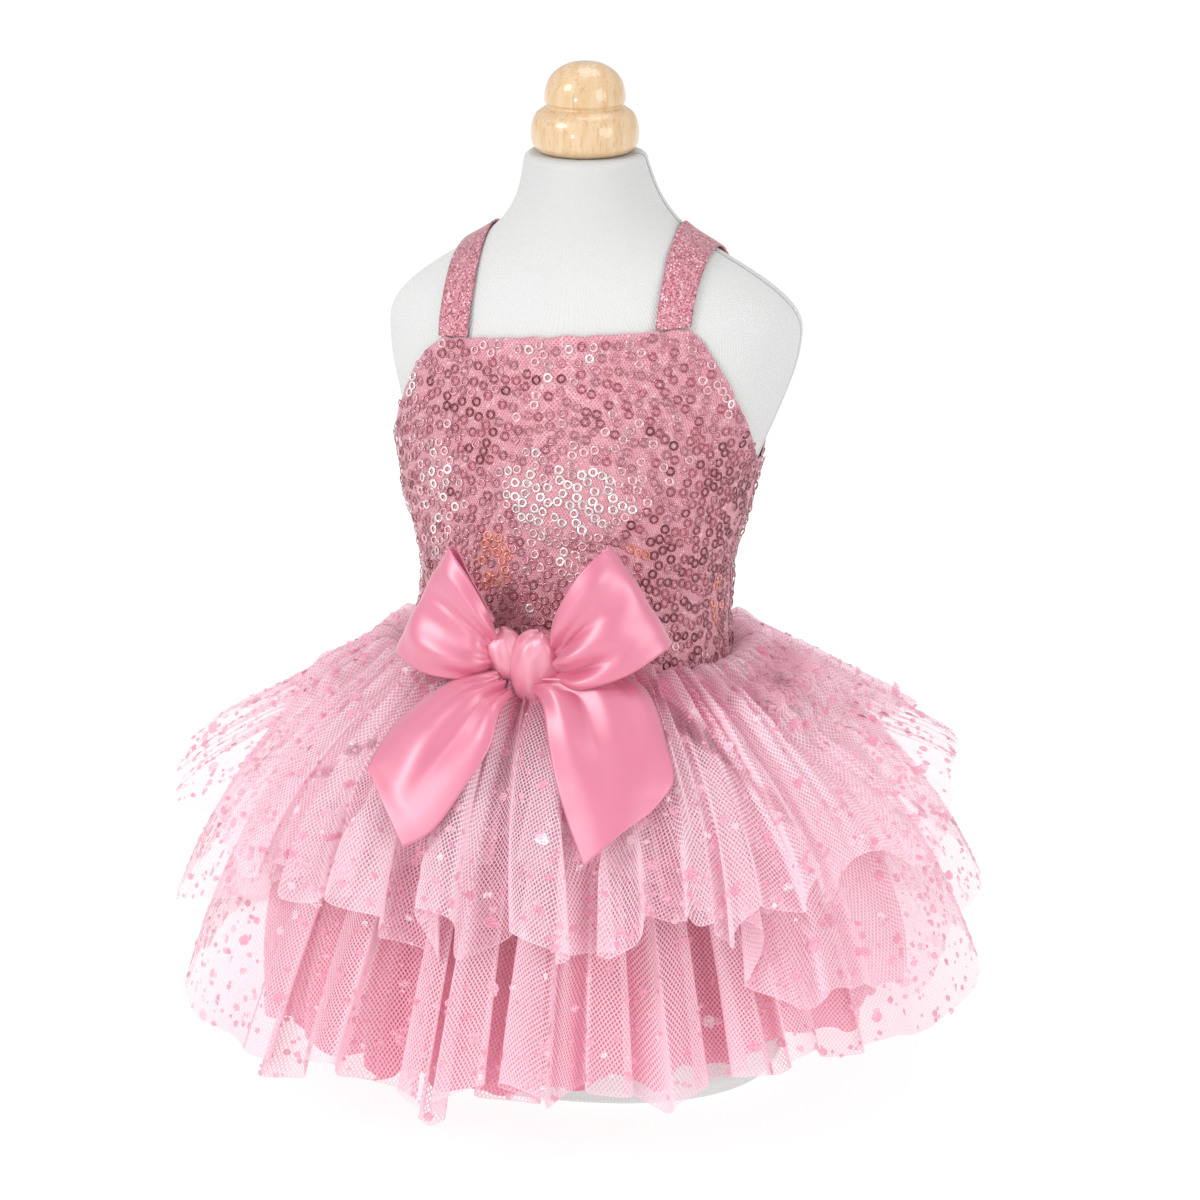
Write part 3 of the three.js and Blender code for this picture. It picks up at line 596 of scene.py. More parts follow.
def mat_wood():
    m = Nodes("varnished_wood")
    o = m.coords("Object")
    x, y, z = m.split(o)[:3]
    comb = m.new("ShaderNodeCombineXYZ")
    m.t.links.new(m.math("MULTIPLY", x, 1.0), comb.inputs[0])
    m.t.links.new(m.math("MULTIPLY", y, 1.0), comb.inputs[1])
    m.t.links.new(m.math("MULTIPLY", z, 0.16), comb.inputs[2])
    streak = m.noise(420, 4, comb.outputs[0], 0.6)
    broad = m.noise(70, 3, comb.outputs[0], 0.5, distortion=1.2)
    rings = m.math("SINE", m.math("MULTIPLY", m.math("ADD", m.math("ADD", x, m.math("MULTIPLY", y, 0.35)), m.math("MULTIPLY", broad, 0.022)), 900.0))
    rings = m.math("MULTIPLY_ADD", rings, 0.5, 0.5)
    base = m.mix(rings, (0.775, 0.585, 0.375), (0.725, 0.50, 0.28))
    base = m.mix(m.math("MULTIPLY", streak, 0.55), base, (0.70, 0.445, 0.225))
    pores = m.ramp(m.noise(900, 2, comb.outputs[0]), [(0.36, (0, 0, 0)), (0.46, (1, 1, 1))])
    base = m.mix(m.math("MULTIPLY", m.math("SUBTRACT", 1.0, pores), 0.28), base, (0.42, 0.19, 0.06))
    m.set("Base Color", base)
    m.set("Roughness", m.math("MULTIPLY_ADD", streak, 0.15, 0.28))
    m.set("Coat Weight", 0.75)
    m.set("Coat Roughness", 0.09)
    m.set("Normal", m.bump(streak, 0.12, 0.0002))
    return m.mat


def mat_mesh():
    """Fine rose knit mesh under the sequins."""
    m = Nodes("rose_knit_mesh")
    u, v, _ = m.split(m.coords("UV"))[:3]
    wob = m.noise(240, 2)
    uu = m.math("ADD", u, m.math("MULTIPLY", wob, 0.0010))
    vv = m.math("ADD", v, m.math("MULTIPLY", m.noise(210, 2, which="UV"), 0.0009))
    a = m.wave01(m.math("ADD", uu, m.math("MULTIPLY", vv, 0.55)), 0.00100)
    b = m.wave01(m.math("SUBTRACT", uu, m.math("MULTIPLY", vv, 0.55)), 0.00100)
    knit = m.math("MAXIMUM", a, b)
    hole = m.ramp(knit, [(0.30, (0, 0, 0)), (0.72, (1, 1, 1))])
    tone = m.noise(95, 4, rough=0.65)
    base = m.mix(tone, (0.66, 0.25, 0.31), (0.87, 0.45, 0.51))
    base = m.mix(m.math("MULTIPLY", m.math("SUBTRACT", 1.0, hole), 0.75), base, (0.44, 0.13, 0.175))
    # pale flecks of metal yarn: partly the yarn's own paler colour, partly painted glints
    fleck_and_glint = m.ramp(m.voronoi(1300, out="Color"), [(0.74, (0, 0, 0)), (0.84, (1, 1, 1))])
    base = m.mix(m.math("MULTIPLY", fleck_and_glint, 0.5), base, (0.95, 0.74, 0.78))
    m.set("Base Color", base)
    m.set("Roughness", 0.62)
    m.set("Sheen Weight", 0.3)
    m.set("Sheen Tint", (1.0, 0.8, 0.84, 1))
    m.set("Normal", m.bump(knit, 0.8, 0.00025, m.bump(tone, 0.4, 0.001)))
    return m.mat


def mat_sequin():
    """Six tones of one metallic film, as painted reflections: painted dark ones, pinks, a painted highlight and a
    painted pink reflection. A ring's tone is painted by where it sits on the panel, with chance.
    """
    out = []
    # tones: dark, deep, rose and pale are painted reflections, bright is a painted highlight, the last one a painted
    # pink reflection
    for name, base, rough in (("dark", (0.235, 0.028, 0.048), 0.20), ("deep", (0.45, 0.105, 0.15), 0.22), ("rose", (0.62, 0.235, 0.30), 0.24),
                              ("pale", (0.90, 0.52, 0.57), 0.24), ("bright", (1.0, 0.93, 0.92), 0.22), ("painted_pink_reflection", (0.93, 0.30, 0.22), 0.24)):
        m = Nodes("sequin_" + name)
        geo = m.new("ShaderNodeNewGeometry")
        dim = tuple(c * 0.62 for c in base)
        m.set("Base Color", m.mix(geo.outputs["Random Per Island"], base, dim))
        m.set("Metallic", 0.5)
        m.set("Roughness", rough)
        m.set("Coat Weight", 0.5)
        m.set("Coat Roughness", 0.08)
        m.set("Normal", m.bump(m.noise(700, 2), 0.15, 0.0003))
        out.append(m.mat)
    return out


def mat_lurex():
    m = Nodes("rose_lurex")
    cell = m.voronoi(1700, out="Color")
    u, v, _ = m.split(m.coords("UV"))[:3]
    weave = m.math("MULTIPLY", m.wave01(u, 0.0009), m.wave01(v, 0.0009))
    # random cells of the metal yarn: the rose tones are the yarn's own, the near-white cells are painted glints
    yarn_tone_and_glint = m.ramp(cell, [(0.0, (0.36, 0.085, 0.12)), (0.34, (0.60, 0.215, 0.27)), (0.60, (0.72, 0.34, 0.40)), (0.82, (0.93, 0.66, 0.70)), (0.93, (1.0, 0.90, 0.91))], "CONSTANT")
    base = m.mix(m.math("MULTIPLY", weave, 0.4), yarn_tone_and_glint, (0.56, 0.18, 0.235))
    m.set("Base Color", base)
    m.set("Metallic", 0.3)
    m.set("Roughness", 0.38)
    m.set("Sheen Weight", 0.2)
    m.set("Normal", m.bump(m.voronoi(1700), 0.8, 0.00035))
    return m.mat


def mat_lining():
    m = Nodes("pink_lining")
    u, v, _ = m.split(m.coords("UV"))[:3]
    weave = m.math("MULTIPLY", m.wave01(u, 0.0006), m.wave01(v, 0.0006))
    tone = m.noise(9, 2)
    base = m.mix(tone, (0.72, 0.170, 0.275), (0.81, 0.235, 0.35))
    m.set("Base Color", base)
    m.set("Roughness", 0.42)
    m.set("Sheen Weight", 0.75)
    m.set("Sheen Tint", (1.0, 0.74, 0.82, 1))
    m.set("Specular IOR Level", 0.5)
    m.set("Normal", m.bump(weave, 0.25, 0.00008, m.bump(m.noise(45, 3), 0.25, 0.001)))
    return m.mat


def mat_tulle(name, tint, thin):
    """Fine net as a pattern of clear holes. The map Tier holds how dense the net lies and how far its cut
    edge is, the map Yarn how much of the yarn shows and how much painted shade turns it deep pink."""
    m = Nodes(name)
    u, v, _ = m.split(m.coords("UV"))[:3]
    tier = m.new("ShaderNodeUVMap", uv_map="Tier")
    haze, hem, _ = m.split(tier.outputs[0])[:3]
    shows, painted_valley_shade = m.split(m.new("ShaderNodeUVMap", uv_map="Yarn").outputs[0])[:2]
    wob = m.noise(200, 1, which="UV")
    uu = m.math("ADD", u, m.math("MULTIPLY", wob, 0.0008))
    P = NET_MM * 0.001 * 1.3
    a = m.math("MULTIPLY", m.math("ADD", uu, m.math("MULTIPLY", v, 0.8)), 1 / P)
    b = m.math("MULTIPLY", m.math("SUBTRACT", uu, m.math("MULTIPLY", v, 0.8)), 1 / P)
    ea = m.math("ABSOLUTE", m.math("SUBTRACT", m.math("FRACT", a), 0.5))
    eb = m.math("ABSOLUTE", m.math("SUBTRACT", m.math("FRACT", b), 0.5))
    edge = m.math("MAXIMUM", ea, eb)
    yarn = m.math("GREATER_THAN", edge, 0.5 - thin)
    knot = m.math("GREATER_THAN", m.math("ADD", ea, eb), 0.86)
    body = m.math("MAXIMUM", m.math("MULTIPLY", yarn, 0.70), m.math("MULTIPLY", knot, 0.9))
    body = m.math("MULTIPLY", body, shows)
    cut = m.math("MULTIPLY", m.math("LESS_THAN", hem, 0.00042), 0.50)
    m.set("Alpha", m.math("MAXIMUM", m.math("ADD", body, haze), cut, clamp=True))
    base = m.mix(m.noise(30, 2), tint, tuple(min(1, c * 1.05) for c in tint))
    # painted shade: the deep pink mixed in by the Yarn map's second value, in the valleys of the folds and gathers
    base = m.mix(painted_valley_shade, base, (0.92, 0.33, 0.48))
    m.set("Base Color", base)
    m.set("Roughness", 0.5)
    m.set("Sheen Weight", 0.2)
    m.set("Sheen Tint", (1.0, 0.8, 0.87, 1))
    m.set("Specular IOR Level", 0.4)
    return m.mat


def mat_spots():
    """Two sorts of fleck: pink flock, and pale glitter that shows the net between its flakes."""
    out = []
    for name, tones, full in (("flock", ((0.89, 0.22, 0.38), (0.93, 0.31, 0.47), (0.96, 0.43, 0.57), (0.99, 0.64, 0.74)), 0.36),
                              ("glitter", ((0.88, 0.24, 0.40), (0.93, 0.32, 0.48), (0.97, 0.47, 0.60), (1.0, 0.84, 0.89)), 0.45)):
        m = Nodes("spots_" + name)
        geo = m.new("ShaderNodeNewGeometry")
        base = m.ramp(geo.outputs["Random Per Island"], [(0.0, tones[0]), (0.30, tones[1]), (0.62, tones[2]), (0.90, tones[3])], "CONSTANT")
        grain = m.voronoi(2400, out="Color")
        base = m.mix(m.math("MULTIPLY", grain, 0.6), base, (1.0, 0.70, 0.79))
        m.set("Base Color", base)
        m.set("Roughness", 0.40)
        m.set("Metallic", 0.1)
        m.set("Sheen Weight", 0.3)
        m.set("Alpha", m.ramp(m.noise(1600, 2), [(full - 0.06, (0.18, 0.18, 0.18)), (full + 0.06, (0.95, 0.95, 0.95))]))
        m.set("Normal", m.bump(grain, 0.6, 0.0003))
        out.append(m.mat)
    return out


def mat_satin(name="pink_satin_ribbon", low=(0.68, 0.130, 0.242), high=(0.76, 0.18, 0.305)):
    m = Nodes(name)
    u, v, _ = m.split(m.coords("UV"))[:3]
    weave = m.math("MULTIPLY", m.wave01(u, 0.00042), m.wave01(v, 0.0011))
    tone = m.noise(38, 2)
    base = m.mix(tone, low, high)
    m.set("Base Color", base)
    m.set("Metallic", 0.10)
    m.set("Roughness", 0.43)
    m.set("Anisotropic", 0.3)
    m.set("Specular IOR Level", 0.9)
    m.set("Coat Weight", 1.0)
    m.set("Coat Roughness", 0.40)
    m.set("Coat IOR", 1.75)
    m.set("Sheen Weight", 0.35)
    m.set("Sheen Tint", (1.0, 0.80, 0.87, 1))
    m.set("Normal", m.bump(weave, 0.2, 0.00006, m.bump(m.noise(120, 3), 0.2, 0.0006)))
    return m.mat

# ---------------------------------------------------------------- dress form and knob
def build_form():
    zs = np.concatenate([np.linspace(3.0, FORM_TOP - 3.5, 210)])
    t = np.linspace(0, 2 * PI, 168, endpoint=False)
    rows = []
    body = form_point(zs[:, None], t[None, :])
    # soften the steps of the section table
    k = np.exp(-0.5 * (np.arange(-6, 7) / 2.2) ** 2)
    k /= k.sum()
    pad = np.concatenate([np.repeat(body[:1], 6, 0), body, np.repeat(body[-1:], 6, 0)])
    sm = sum(w * pad[i:i + len(body)] for i, w in enumerate(k))
    fade = np.minimum(1, np.minimum(np.arange(len(body)), np.arange(len(body))[::-1]) / 12.0)[:, None]
    body[..., :2] = body[..., :2] * (1 - fade[..., None]) + sm[..., :2] * fade[..., None]
    c0 = np.array([0, 0, 0.0])
    foot = form_point(0.0, t)
    for a in np.linspace(0, 0.92, 8)[:-1]:        # flat underside, then a rounded edge
        r = foot * a
        r[:, 2] = 0
        rows.append(r)
    for a in (0, 18, 36, 54, 72):
        q = math.radians(a)
        p = form_point(3.0, t) * 1.0
        inn = 1 - 0.034 * (1 - math.sin(q))
        p[:, :2] *= inn
        p[:, 2] = 3.0 * (1 - math.cos(q))
        rows.append(p)
    rows += list(body)
    top = body[-1]
    mid = np.array([0, 0.5, 0])
    for a in (15, 30, 45, 60, 75, 90):
        q = math.radians(a)
        p = mid + (top - mid) * 1.0
        f = 1 - 0.13 * (1 - math.cos(q))
        p[:, :2] = mid[:2] + (top[:, :2] - mid[:2]) * f
        p[:, 2] = FORM_TOP - 3.5 + 3.5 * math.sin(q)
        rows.append(p)
    last = rows[-1]
    for a in (0.75, 0.5, 0.25, 0.02):
        p = mid + (last - mid) * a
        p[:, 2] = FORM_TOP
        rows.append(p)
    P = np.stack(rows, 1)                         # [t][row]
    length = np.concatenate([[0], np.cumsum(np.linalg.norm(np.diff(P, axis=1), axis=2).mean(0))])
    u = np.linspace(0, 1, len(t) + 1) * 0.46
    uv = np.stack(np.broadcast_arrays(u[:, None], (length * MM)[None, :]), -1)
    ob = grid_mesh("form_cover", P, uv, mat_jersey(), closed=True)
    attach(ob, "root")
    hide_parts("form_torso")
    return ob


def build_knob():
    prof = [(0.4, KNOB[0]["z"]), (10, KNOB[0]["z"]), (17.2, KNOB[0]["z"])] + [(k["r"], k["z"]) for k in KNOB[1:]] + [(2.6, KNOB_TOP - 0.05), (0.3, KNOB_TOP)]
    pts = catmull([(r, 0, z) for r, z in prof], np.linspace(0, 1, 150))
    t = np.linspace(0, 2 * PI, 128, endpoint=False)
    r, z = np.maximum(pts[:, 0], 0.2), np.clip(pts[:, 2], KNOB[0]["z"], KNOB_TOP)
    # the turned groove between the two tiers, and fine tool marks
    r = r - 0.35 * bump_at(z, 390.6, 1.1) + 0.02 * np.sin(z * 5.1)
    P = np.stack([r[None] * np.cos(t)[:, None], r[None] * np.sin(t)[:, None], np.broadcast_to(z, (len(t), len(z)))], -1)
    ln = np.concatenate([[0], np.cumsum(np.hypot(np.diff(r), np.diff(z)))])
    uv = np.stack(np.broadcast_arrays(np.linspace(0, 0.13, len(t) + 1)[:, None], (ln * MM)[None]), -1)
    ob = grid_mesh("knob_turned", P, uv, mat_wood(), closed=True, out=(0, 0, 388))
    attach(ob, "root")
    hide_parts("form_knob")
    return ob


# ---------------------------------------------------------------- bodice
# pulled creases: direction in degrees, height, length along the crease, width, tilt, depth in mm
CREASES = [
    {"deg": -168, "z": 236, "len": 26, "wid": 4.5, "tilt": -18, "h": 0.9},
    {"deg": -158, "z": 222, "len": 22, "wid": 4.0, "tilt": -30, "h": -0.8},
    {"deg": -150, "z": 205, "len": 24, "wid": 4.0, "tilt": 12, "h": 0.8},
    {"deg": -130, "z": 198, "len": 20, "wid": 3.6, "tilt": 24, "h": -0.6},
    {"deg": -112, "z": 214, "len": 26, "wid": 5.0, "tilt": -12, "h": 0.5},
    {"deg": -60, "z": 206, "len": 24, "wid": 4.2, "tilt": -22, "h": 0.6},
    {"deg": -40, "z": 214, "len": 22, "wid": 3.8, "tilt": 16, "h": -0.6},
    {"deg": -22, "z": 198, "len": 26, "wid": 4.0, "tilt": 10, "h": 0.7},
    {"deg": -14, "z": 226, "len": 22, "wid": 3.6, "tilt": -14, "h": -0.6},
    {"deg": 24, "z": 204, "len": 24, "wid": 4.0, "tilt": 14, "h": 0.7},
    {"deg": 52, "z": 218, "len": 26, "wid": 4.6, "tilt": -20, "h": -0.6},
    {"deg": 84, "z": 200, "len": 30, "wid": 4.2, "tilt": 6, "h": 0.7},
    {"deg": 118, "z": 214, "len": 24, "wid": 4.2, "tilt": 18, "h": 0.6},
    {"deg": 150, "z": 204, "len": 22, "wid": 3.8, "tilt": -16, "h": -0.6},
]


def crease_height(t, z):
    h = np.zeros(np.broadcast(t, z).shape)
    for c in CREASES:
        d = ((np.degrees(t) - c["deg"] + 180) % 360 - 180) * 1.05
        dz = z - c["z"]
        a = math.radians(c["tilt"])
        u, v = d * math.cos(a) + dz * math.sin(a), -d * math.sin(a) + dz * math.cos(a)
        h = h + c["h"] * np.exp(-(u / c["len"]) ** 2 - (v / c["wid"]) ** 2)
    return h


GATHER = Ring(31, 40, 95)


def bodice_surface(t, z, off=0.0):
    g = 0.35 * GATHER(t) * np.exp(-np.maximum(0, z - waist_z(t)) / 9.0)
    return bodice_point(z, t, crease_height(t, z) + g + off)


def bodice_param(front, u, v):
    seam = math.radians(0.14)
    t = (-PI if front else 0) + seam + u * (PI - 2 * seam)
    z0 = waist_z(t) + SEAM
    if front:
        x = bodice_point(300.0 + 0 * t, t)[..., 0]
        z1 = front_top(t, x)
    else:
        z1 = back_top(t)
    return t, z0 + (z1 - z0) * v


def build_bodice(front):
    nu, nv = 220, 110
    u, v = np.meshgrid(np.linspace(0, 1, nu), np.linspace(0, 1, nv), indexing="ij")
    t, z = bodice_param(front, u, v)
    # the free edges are slightly scalloped by the elastic, and turn in a little
    edge = np.exp(-(1 - v) * 26)
    P = bodice_surface(t, z, -0.45 * edge)
    P[..., 2] += edge * 0.45 * np.sin(u * 165) * (0.6 + 0.4 * np.sin(u * 41))
    arc = u * (0.205 if front else 0.2)
    uv = np.stack([arc, z * MM], -1)
    name = "bodice_front_cloth" if front else "bodice_back_cloth"
    ob = grid_mesh(name, P, uv, MESH_MAT)
    thicken(ob, 0.7)
    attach(ob, "root")
    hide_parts("bodice_front" if front else "bodice_back")
    return ob


def ring_template(seg=14):
    loops = [(0.57, 0.02), (0.71, 0.13), (0.87, 0.11), (1.0, 0.0)]   # radius, height (parts of the sequin's radius)
    a = np.linspace(0, 2 * PI, seg, endpoint=False)
    V = np.concatenate([np.stack([r * np.cos(a), r * np.sin(a), np.full(seg, h)], -1) for r, h in loops])
    F = []
    for k in range(len(loops) - 1):
        for i in range(seg):
            j = (i + 1) % seg
            F.append((k * seg + i, (k + 1) * seg + i, (k + 1) * seg + j, k * seg + j))
    return V, np.array(F)


def glint(t, z):
    """Painted reflections on the curved panels: up to 1 paints the film as mirroring light, down to -1 as mirroring
    dark.
    """
    d = (np.degrees(t) + 180) % 360 - 180
    g = np.full(np.broadcast(d, z).shape, -0.12)
    for row in PAINTED_GLINTS:
        dd = (d - row["deg"] + 180) % 360 - 180
        g = g + row["by"] * np.exp(-(dd / row["wide"]) ** 2 - ((z - row["z"]) / row["high"]) ** 2)
    return g


def build_sequins(front, count, seed, panel):
    """Rings sewn on in wandering rows, like coral."""
    rng = np.random.default_rng(seed)
    W, H = 205.0, 140.0
    cell = 4.2
    placed = []
    bins = {}

    def near(x, y, skip):
        cx, cy = int(x // cell), int(y // cell)
        for a in (-1, 0, 1):
            for b in (-1, 0, 1):
                for q in bins.get((cx + a, cy + b), ()):
                    if q in skip:
                        continue
                    if (placed[q][0] - x) ** 2 + (placed[q][1] - y) ** 2 < 3.58 ** 2:
                        return True
        return False

    us = np.linspace(0, 1, 400)
    tt, z0s = bodice_param(front, us, np.zeros(400))
    _, z1s = bodice_param(front, us, np.ones(400))
    X3 = bodice_point(240.0 + 0 * tt, tt)
    arc = np.concatenate([[0], np.cumsum(np.linalg.norm(np.diff(X3, axis=0), axis=1))])
    arc *= W / arc[-1]

    def inside(x, y):
        if not 2.2 < x < W - 2.2:
            return False
        z = 172.0 + y
        return np.interp(x, arc, z0s) + 2.2 < z < np.interp(x, arc, z1s) - 2.0

    def add(x, y):
        placed.append((x, y))
        bins.setdefault((int(x // cell), int(y // cell)), []).append(len(placed) - 1)
        return len(placed) - 1

    tries = 0
    while len(placed) < count and tries < 12000:
        tries += 1
        x, y = rng.uniform(0, W), rng.uniform(0, H)
        if not inside(x, y) or near(x, y, ()):
            continue
        k = add(x, y)
        th = rng.uniform(0, 2 * PI)
        for _ in range(int(rng.integers(3, 13))):
            ok = False
            for turn in (0, 0.6, -0.6, 1.15, -1.15):
                a = th + turn + rng.normal(0, 0.3)
                st = 3.66 + rng.uniform(0, 0.15)
                nx, ny = x + st * math.cos(a), y + st * math.sin(a)
                if inside(nx, ny) and not near(nx, ny, (k,)):
                    k, x, y, th, ok = add(nx, ny), nx, ny, a, True
                    break
            if not ok:
                break
    C = np.array(placed)
    t = np.interp(C[:, 0], arc, tt)
    z = 172.0 + C[:, 1]
    P = bodice_surface(t, z, 0.0)
    e = 0.01
    du = bodice_surface(t + e, z) - bodice_surface(t - e, z)
    dv = bodice_surface(t, z + 0.8) - bodice_surface(t, z - 0.8)
    du /= np.linalg.norm(du, axis=1, keepdims=True)
    n = np.cross(du, dv)
    n /= np.linalg.norm(n, axis=1, keepdims=True)
    rad = P.copy()
    rad[:, 2] = 0
    n *= np.sign((n * rad).sum(1, keepdims=True))
    tv, tr = ring_template()
    tilt = rng.normal(0, 0.15, (len(C), 2))
    n2 = n + du * tilt[:, :1] + np.cross(n, du) * tilt[:, 1:]
    n2 /= np.linalg.norm(n2, axis=1, keepdims=True)
    a1 = np.cross(n2, np.array([0.03, 0.05, 1.0]))
    a1 /= np.linalg.norm(a1, axis=1, keepdims=True)
    a2 = np.cross(n2, a1)
    size = rng.uniform(1.84, 1.97, len(C))
    lift = 0.38 + rng.uniform(0, 0.2, len(C))
    V = (P + n * lift[:, None])[:, None] + size[:, None, None] * (tv[None, :, :1] * a1[:, None] + tv[None, :, 1:2] * a2[:, None] + tv[None, :, 2:] * n2[:, None])
    F = (tr[None] + (np.arange(len(C)) * len(tv))[:, None, None]).reshape(-1, 4)
    ob = raw_mesh("sequins_front" if front else "sequins_back", V.reshape(-1, 3), F, None, SEQUIN_MATS)
    # painted reflections: a ring's tone, from painted dark to painted highlight, follows the glint map and chance; in
    # the listed places some get the painted pink reflection
    g = glint(t, z) + rng.normal(0, 0.30, len(C))
    tone = np.select([g > 0.62, g > 0.22, g > -0.25, g > -0.62], [4, 3, 2, 1], 0)
    painted_pink_reflection = np.zeros(len(C))
    d = (np.degrees(t) + 180) % 360 - 180
    for row in PAINTED_PINK_REFLECTIONS:
        painted_pink_reflection = np.maximum(painted_pink_reflection, bump_at(d, row["deg"], row["wide"]) * bump_at(z, row["z"], row["high"]))
    tone = np.where((painted_pink_reflection > 0.45) & (rng.uniform(0, 1, len(C)) < 0.62), 5, tone)
    ob.data.polygons.foreach_set("material_index", np.repeat(tone, len(tr)).astype(np.int32))
    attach(ob, "root")
    print("sequins", len(C), np.bincount(tone, minlength=6))
    return ob


def build_strap(side):
    nu, nv = 170, 16
    u, q = np.meshgrid(np.linspace(0, 1, nu), np.linspace(0, 1, nv), indexing="ij")
    x = (STRAP_IN_LEFT if side < 0 else STRAP_IN_RIGHT) + STRAP_WIDTH * q
    edge = 0.5 * np.exp(-q * nv / 1.3) + 0.5 * np.exp(-(1 - q) * nv / 1.3)
    soft = 0.25 * np.sin(u * 23 + q * 4) * np.sin(u * 9 + 1.3)
    P = strap_point(side, x, u, CLEAR + 0.5 + CLOTH / 2 - 0.35 * edge + soft * 0.6)
    uv = np.stack([q * 0.013, u * 0.13], -1)
    name = "strap_left_cloth" if side < 0 else "strap_right_cloth"
    ob = grid_mesh(name, P, uv, LUREX_MAT, out=(side * 46, 0, 285))
    thicken(ob, 0.8)
    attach(ob, "root")
    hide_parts("strap_left" if side < 0 else "strap_right")
    return ob


# ---------------------------------------------------------------- skirt
# the lower edge of the upper tier in front: direction, length as a part of the tier's
HEM_UPPER = [
    {"deg": -180, "s": 1.00}, {"deg": -172, "s": 1.05}, {"deg": -163, "s": 0.97}, {"deg": -154, "s": 1.06},
    {"deg": -146, "s": 0.98}, {"deg": -138, "s": 1.07}, {"deg": -132, "s": 0.99}, {"deg": -125.7, "s": 1.037},
    {"deg": -120, "s": 1.00}, {"deg": -113.9, "s": 1.017}, {"deg": -110, "s": 1.06}, {"deg": -107.8, "s": 1.10},
    {"deg": -105, "s": 1.04}, {"deg": -102.1, "s": 0.993}, {"deg": -95.7, "s": 1.006}, {"deg": -89.5, "s": 1.027},
    {"deg": -86, "s": 1.076}, {"deg": -81.3, "s": 1.075}, {"deg": -75.3, "s": 1.077}, {"deg": -71.5, "s": 1.10},
    {"deg": -68.6, "s": 1.135}, {"deg": -67, "s": 1.07}, {"deg": -65.2, "s": 0.982}, {"deg": -61, "s": 0.971},
    {"deg": -57.5, "s": 0.958}, {"deg": -55, "s": 1.088}, {"deg": -49.1, "s": 1.123}, {"deg": -43.8, "s": 1.06},
    {"deg": -38, "s": 1.09}, {"deg": -33.7, "s": 1.10}, {"deg": -28, "s": 1.05}, {"deg": -24.8, "s": 1.10}, {"deg": -20, "s": 1.15},
    {"deg": -15, "s": 1.12}, {"deg": -4.9, "s": 1.05}, {"deg": 0, "s": 1.03},
]


HEM_MIDDLE = [
    {"deg": -180, "s": 1.00}, {"deg": -165, "s": 1.03}, {"deg": -152, "s": 0.99}, {"deg": -142, "s": 0.94},
    {"deg": -132, "s": 0.86}, {"deg": -118, "s": 0.79}, {"deg": -104, "s": 0.77}, {"deg": -90, "s": 0.78},
    {"deg": -76, "s": 0.77}, {"deg": -62, "s": 0.79}, {"deg": -54, "s": 0.86}, {"deg": -49.5, "s": 0.96},
    {"deg": -47, "s": 1.08}, {"deg": -42, "s": 1.13}, {"deg": -36, "s": 1.10}, {"deg": -30, "s": 1.11},
    {"deg": -24, "s": 1.11}, {"deg": -17, "s": 1.06}, {"deg": -10, "s": 0.99}, {"deg": -4, "s": 0.98},
    {"deg": 0, "s": 1.00},
]


def hem_of(seed, amount, table=None):
    """Part of its length that a tier has at t: points and steps, as cut tulle hangs."""
    rng = np.random.default_rng(seed)
    n = 46
    a = np.sort((np.arange(n) + rng.uniform(-0.32, 0.32, n)) * 2 * PI / n) % (2 * PI)
    a = np.sort(a)
    s = 1 + amount * rng.uniform(-1, 1, n) * (1 - 0.85 * wings(a))

    def f(t):
        q = np.mod(t, 2 * PI)
        X = np.concatenate([[a[-1] - 2 * PI], a, [a[0] + 2 * PI]])
        Y = np.concatenate([[s[-1]], s, [s[0]]])
        y = np.interp(q, X, Y)
        if table is not None:
            d = np.degrees((np.asarray(t) + PI) % (2 * PI) - PI)
            tx, ty = [r["deg"] for r in table], [r["s"] for r in table]
            w = ss(d, -180, -172) * (1 - ss(d, -8, 0))
            y = y * (1 - w) + np.interp(d, tx, ty) * w
        return y
    return f


# painted reflections on the sequins: a painted highlight where by > 0, a painted dark reflection where by < 0
PAINTED_GLINTS = [
    {"deg": -86, "wide": 21, "z": 246, "high": 13, "by": 1.75},
    {"deg": -95, "wide": 9, "z": 300, "high": 6, "by": 0.75},
    {"deg": -143, "wide": 9, "z": 284, "high": 10, "by": 1.2},
    {"deg": -133, "wide": 9, "z": 244, "high": 20, "by": 0.75},
    {"deg": -150, "wide": 20, "z": 205, "high": 18, "by": 0.35},
    {"deg": -82, "wide": 16, "z": 222, "high": 10, "by": 0.35},
    {"deg": -42, "wide": 7, "z": 284, "high": 8, "by": 0.9},
    {"deg": -22, "wide": 32, "z": 225, "high": 55, "by": -0.6},
    {"deg": -110, "wide": 8, "z": 258, "high": 34, "by": -0.55},
    {"deg": -58, "wide": 12, "z": 205, "high": 26, "by": -0.5},
    {"deg": 92, "wide": 18, "z": 240, "high": 12, "by": 1.1},
    {"deg": 128, "wide": 10, "z": 222, "high": 22, "by": 0.6},
    {"deg": 40, "wide": 24, "z": 220, "high": 40, "by": -0.6},
    {"deg": 160, "wide": 18, "z": 225, "high": 40, "by": -0.5},
]
# rings painted with the reflection of the ribbon's pink and the reds beside it
PAINTED_PINK_REFLECTIONS = [
    {"deg": -108, "wide": 7, "z": 218, "high": 14}, {"deg": -76, "wide": 6, "z": 201, "high": 7},
    {"deg": -60, "wide": 5, "z": 224, "high": 5}, {"deg": -14, "wide": 7, "z": 200, "high": 12},
]

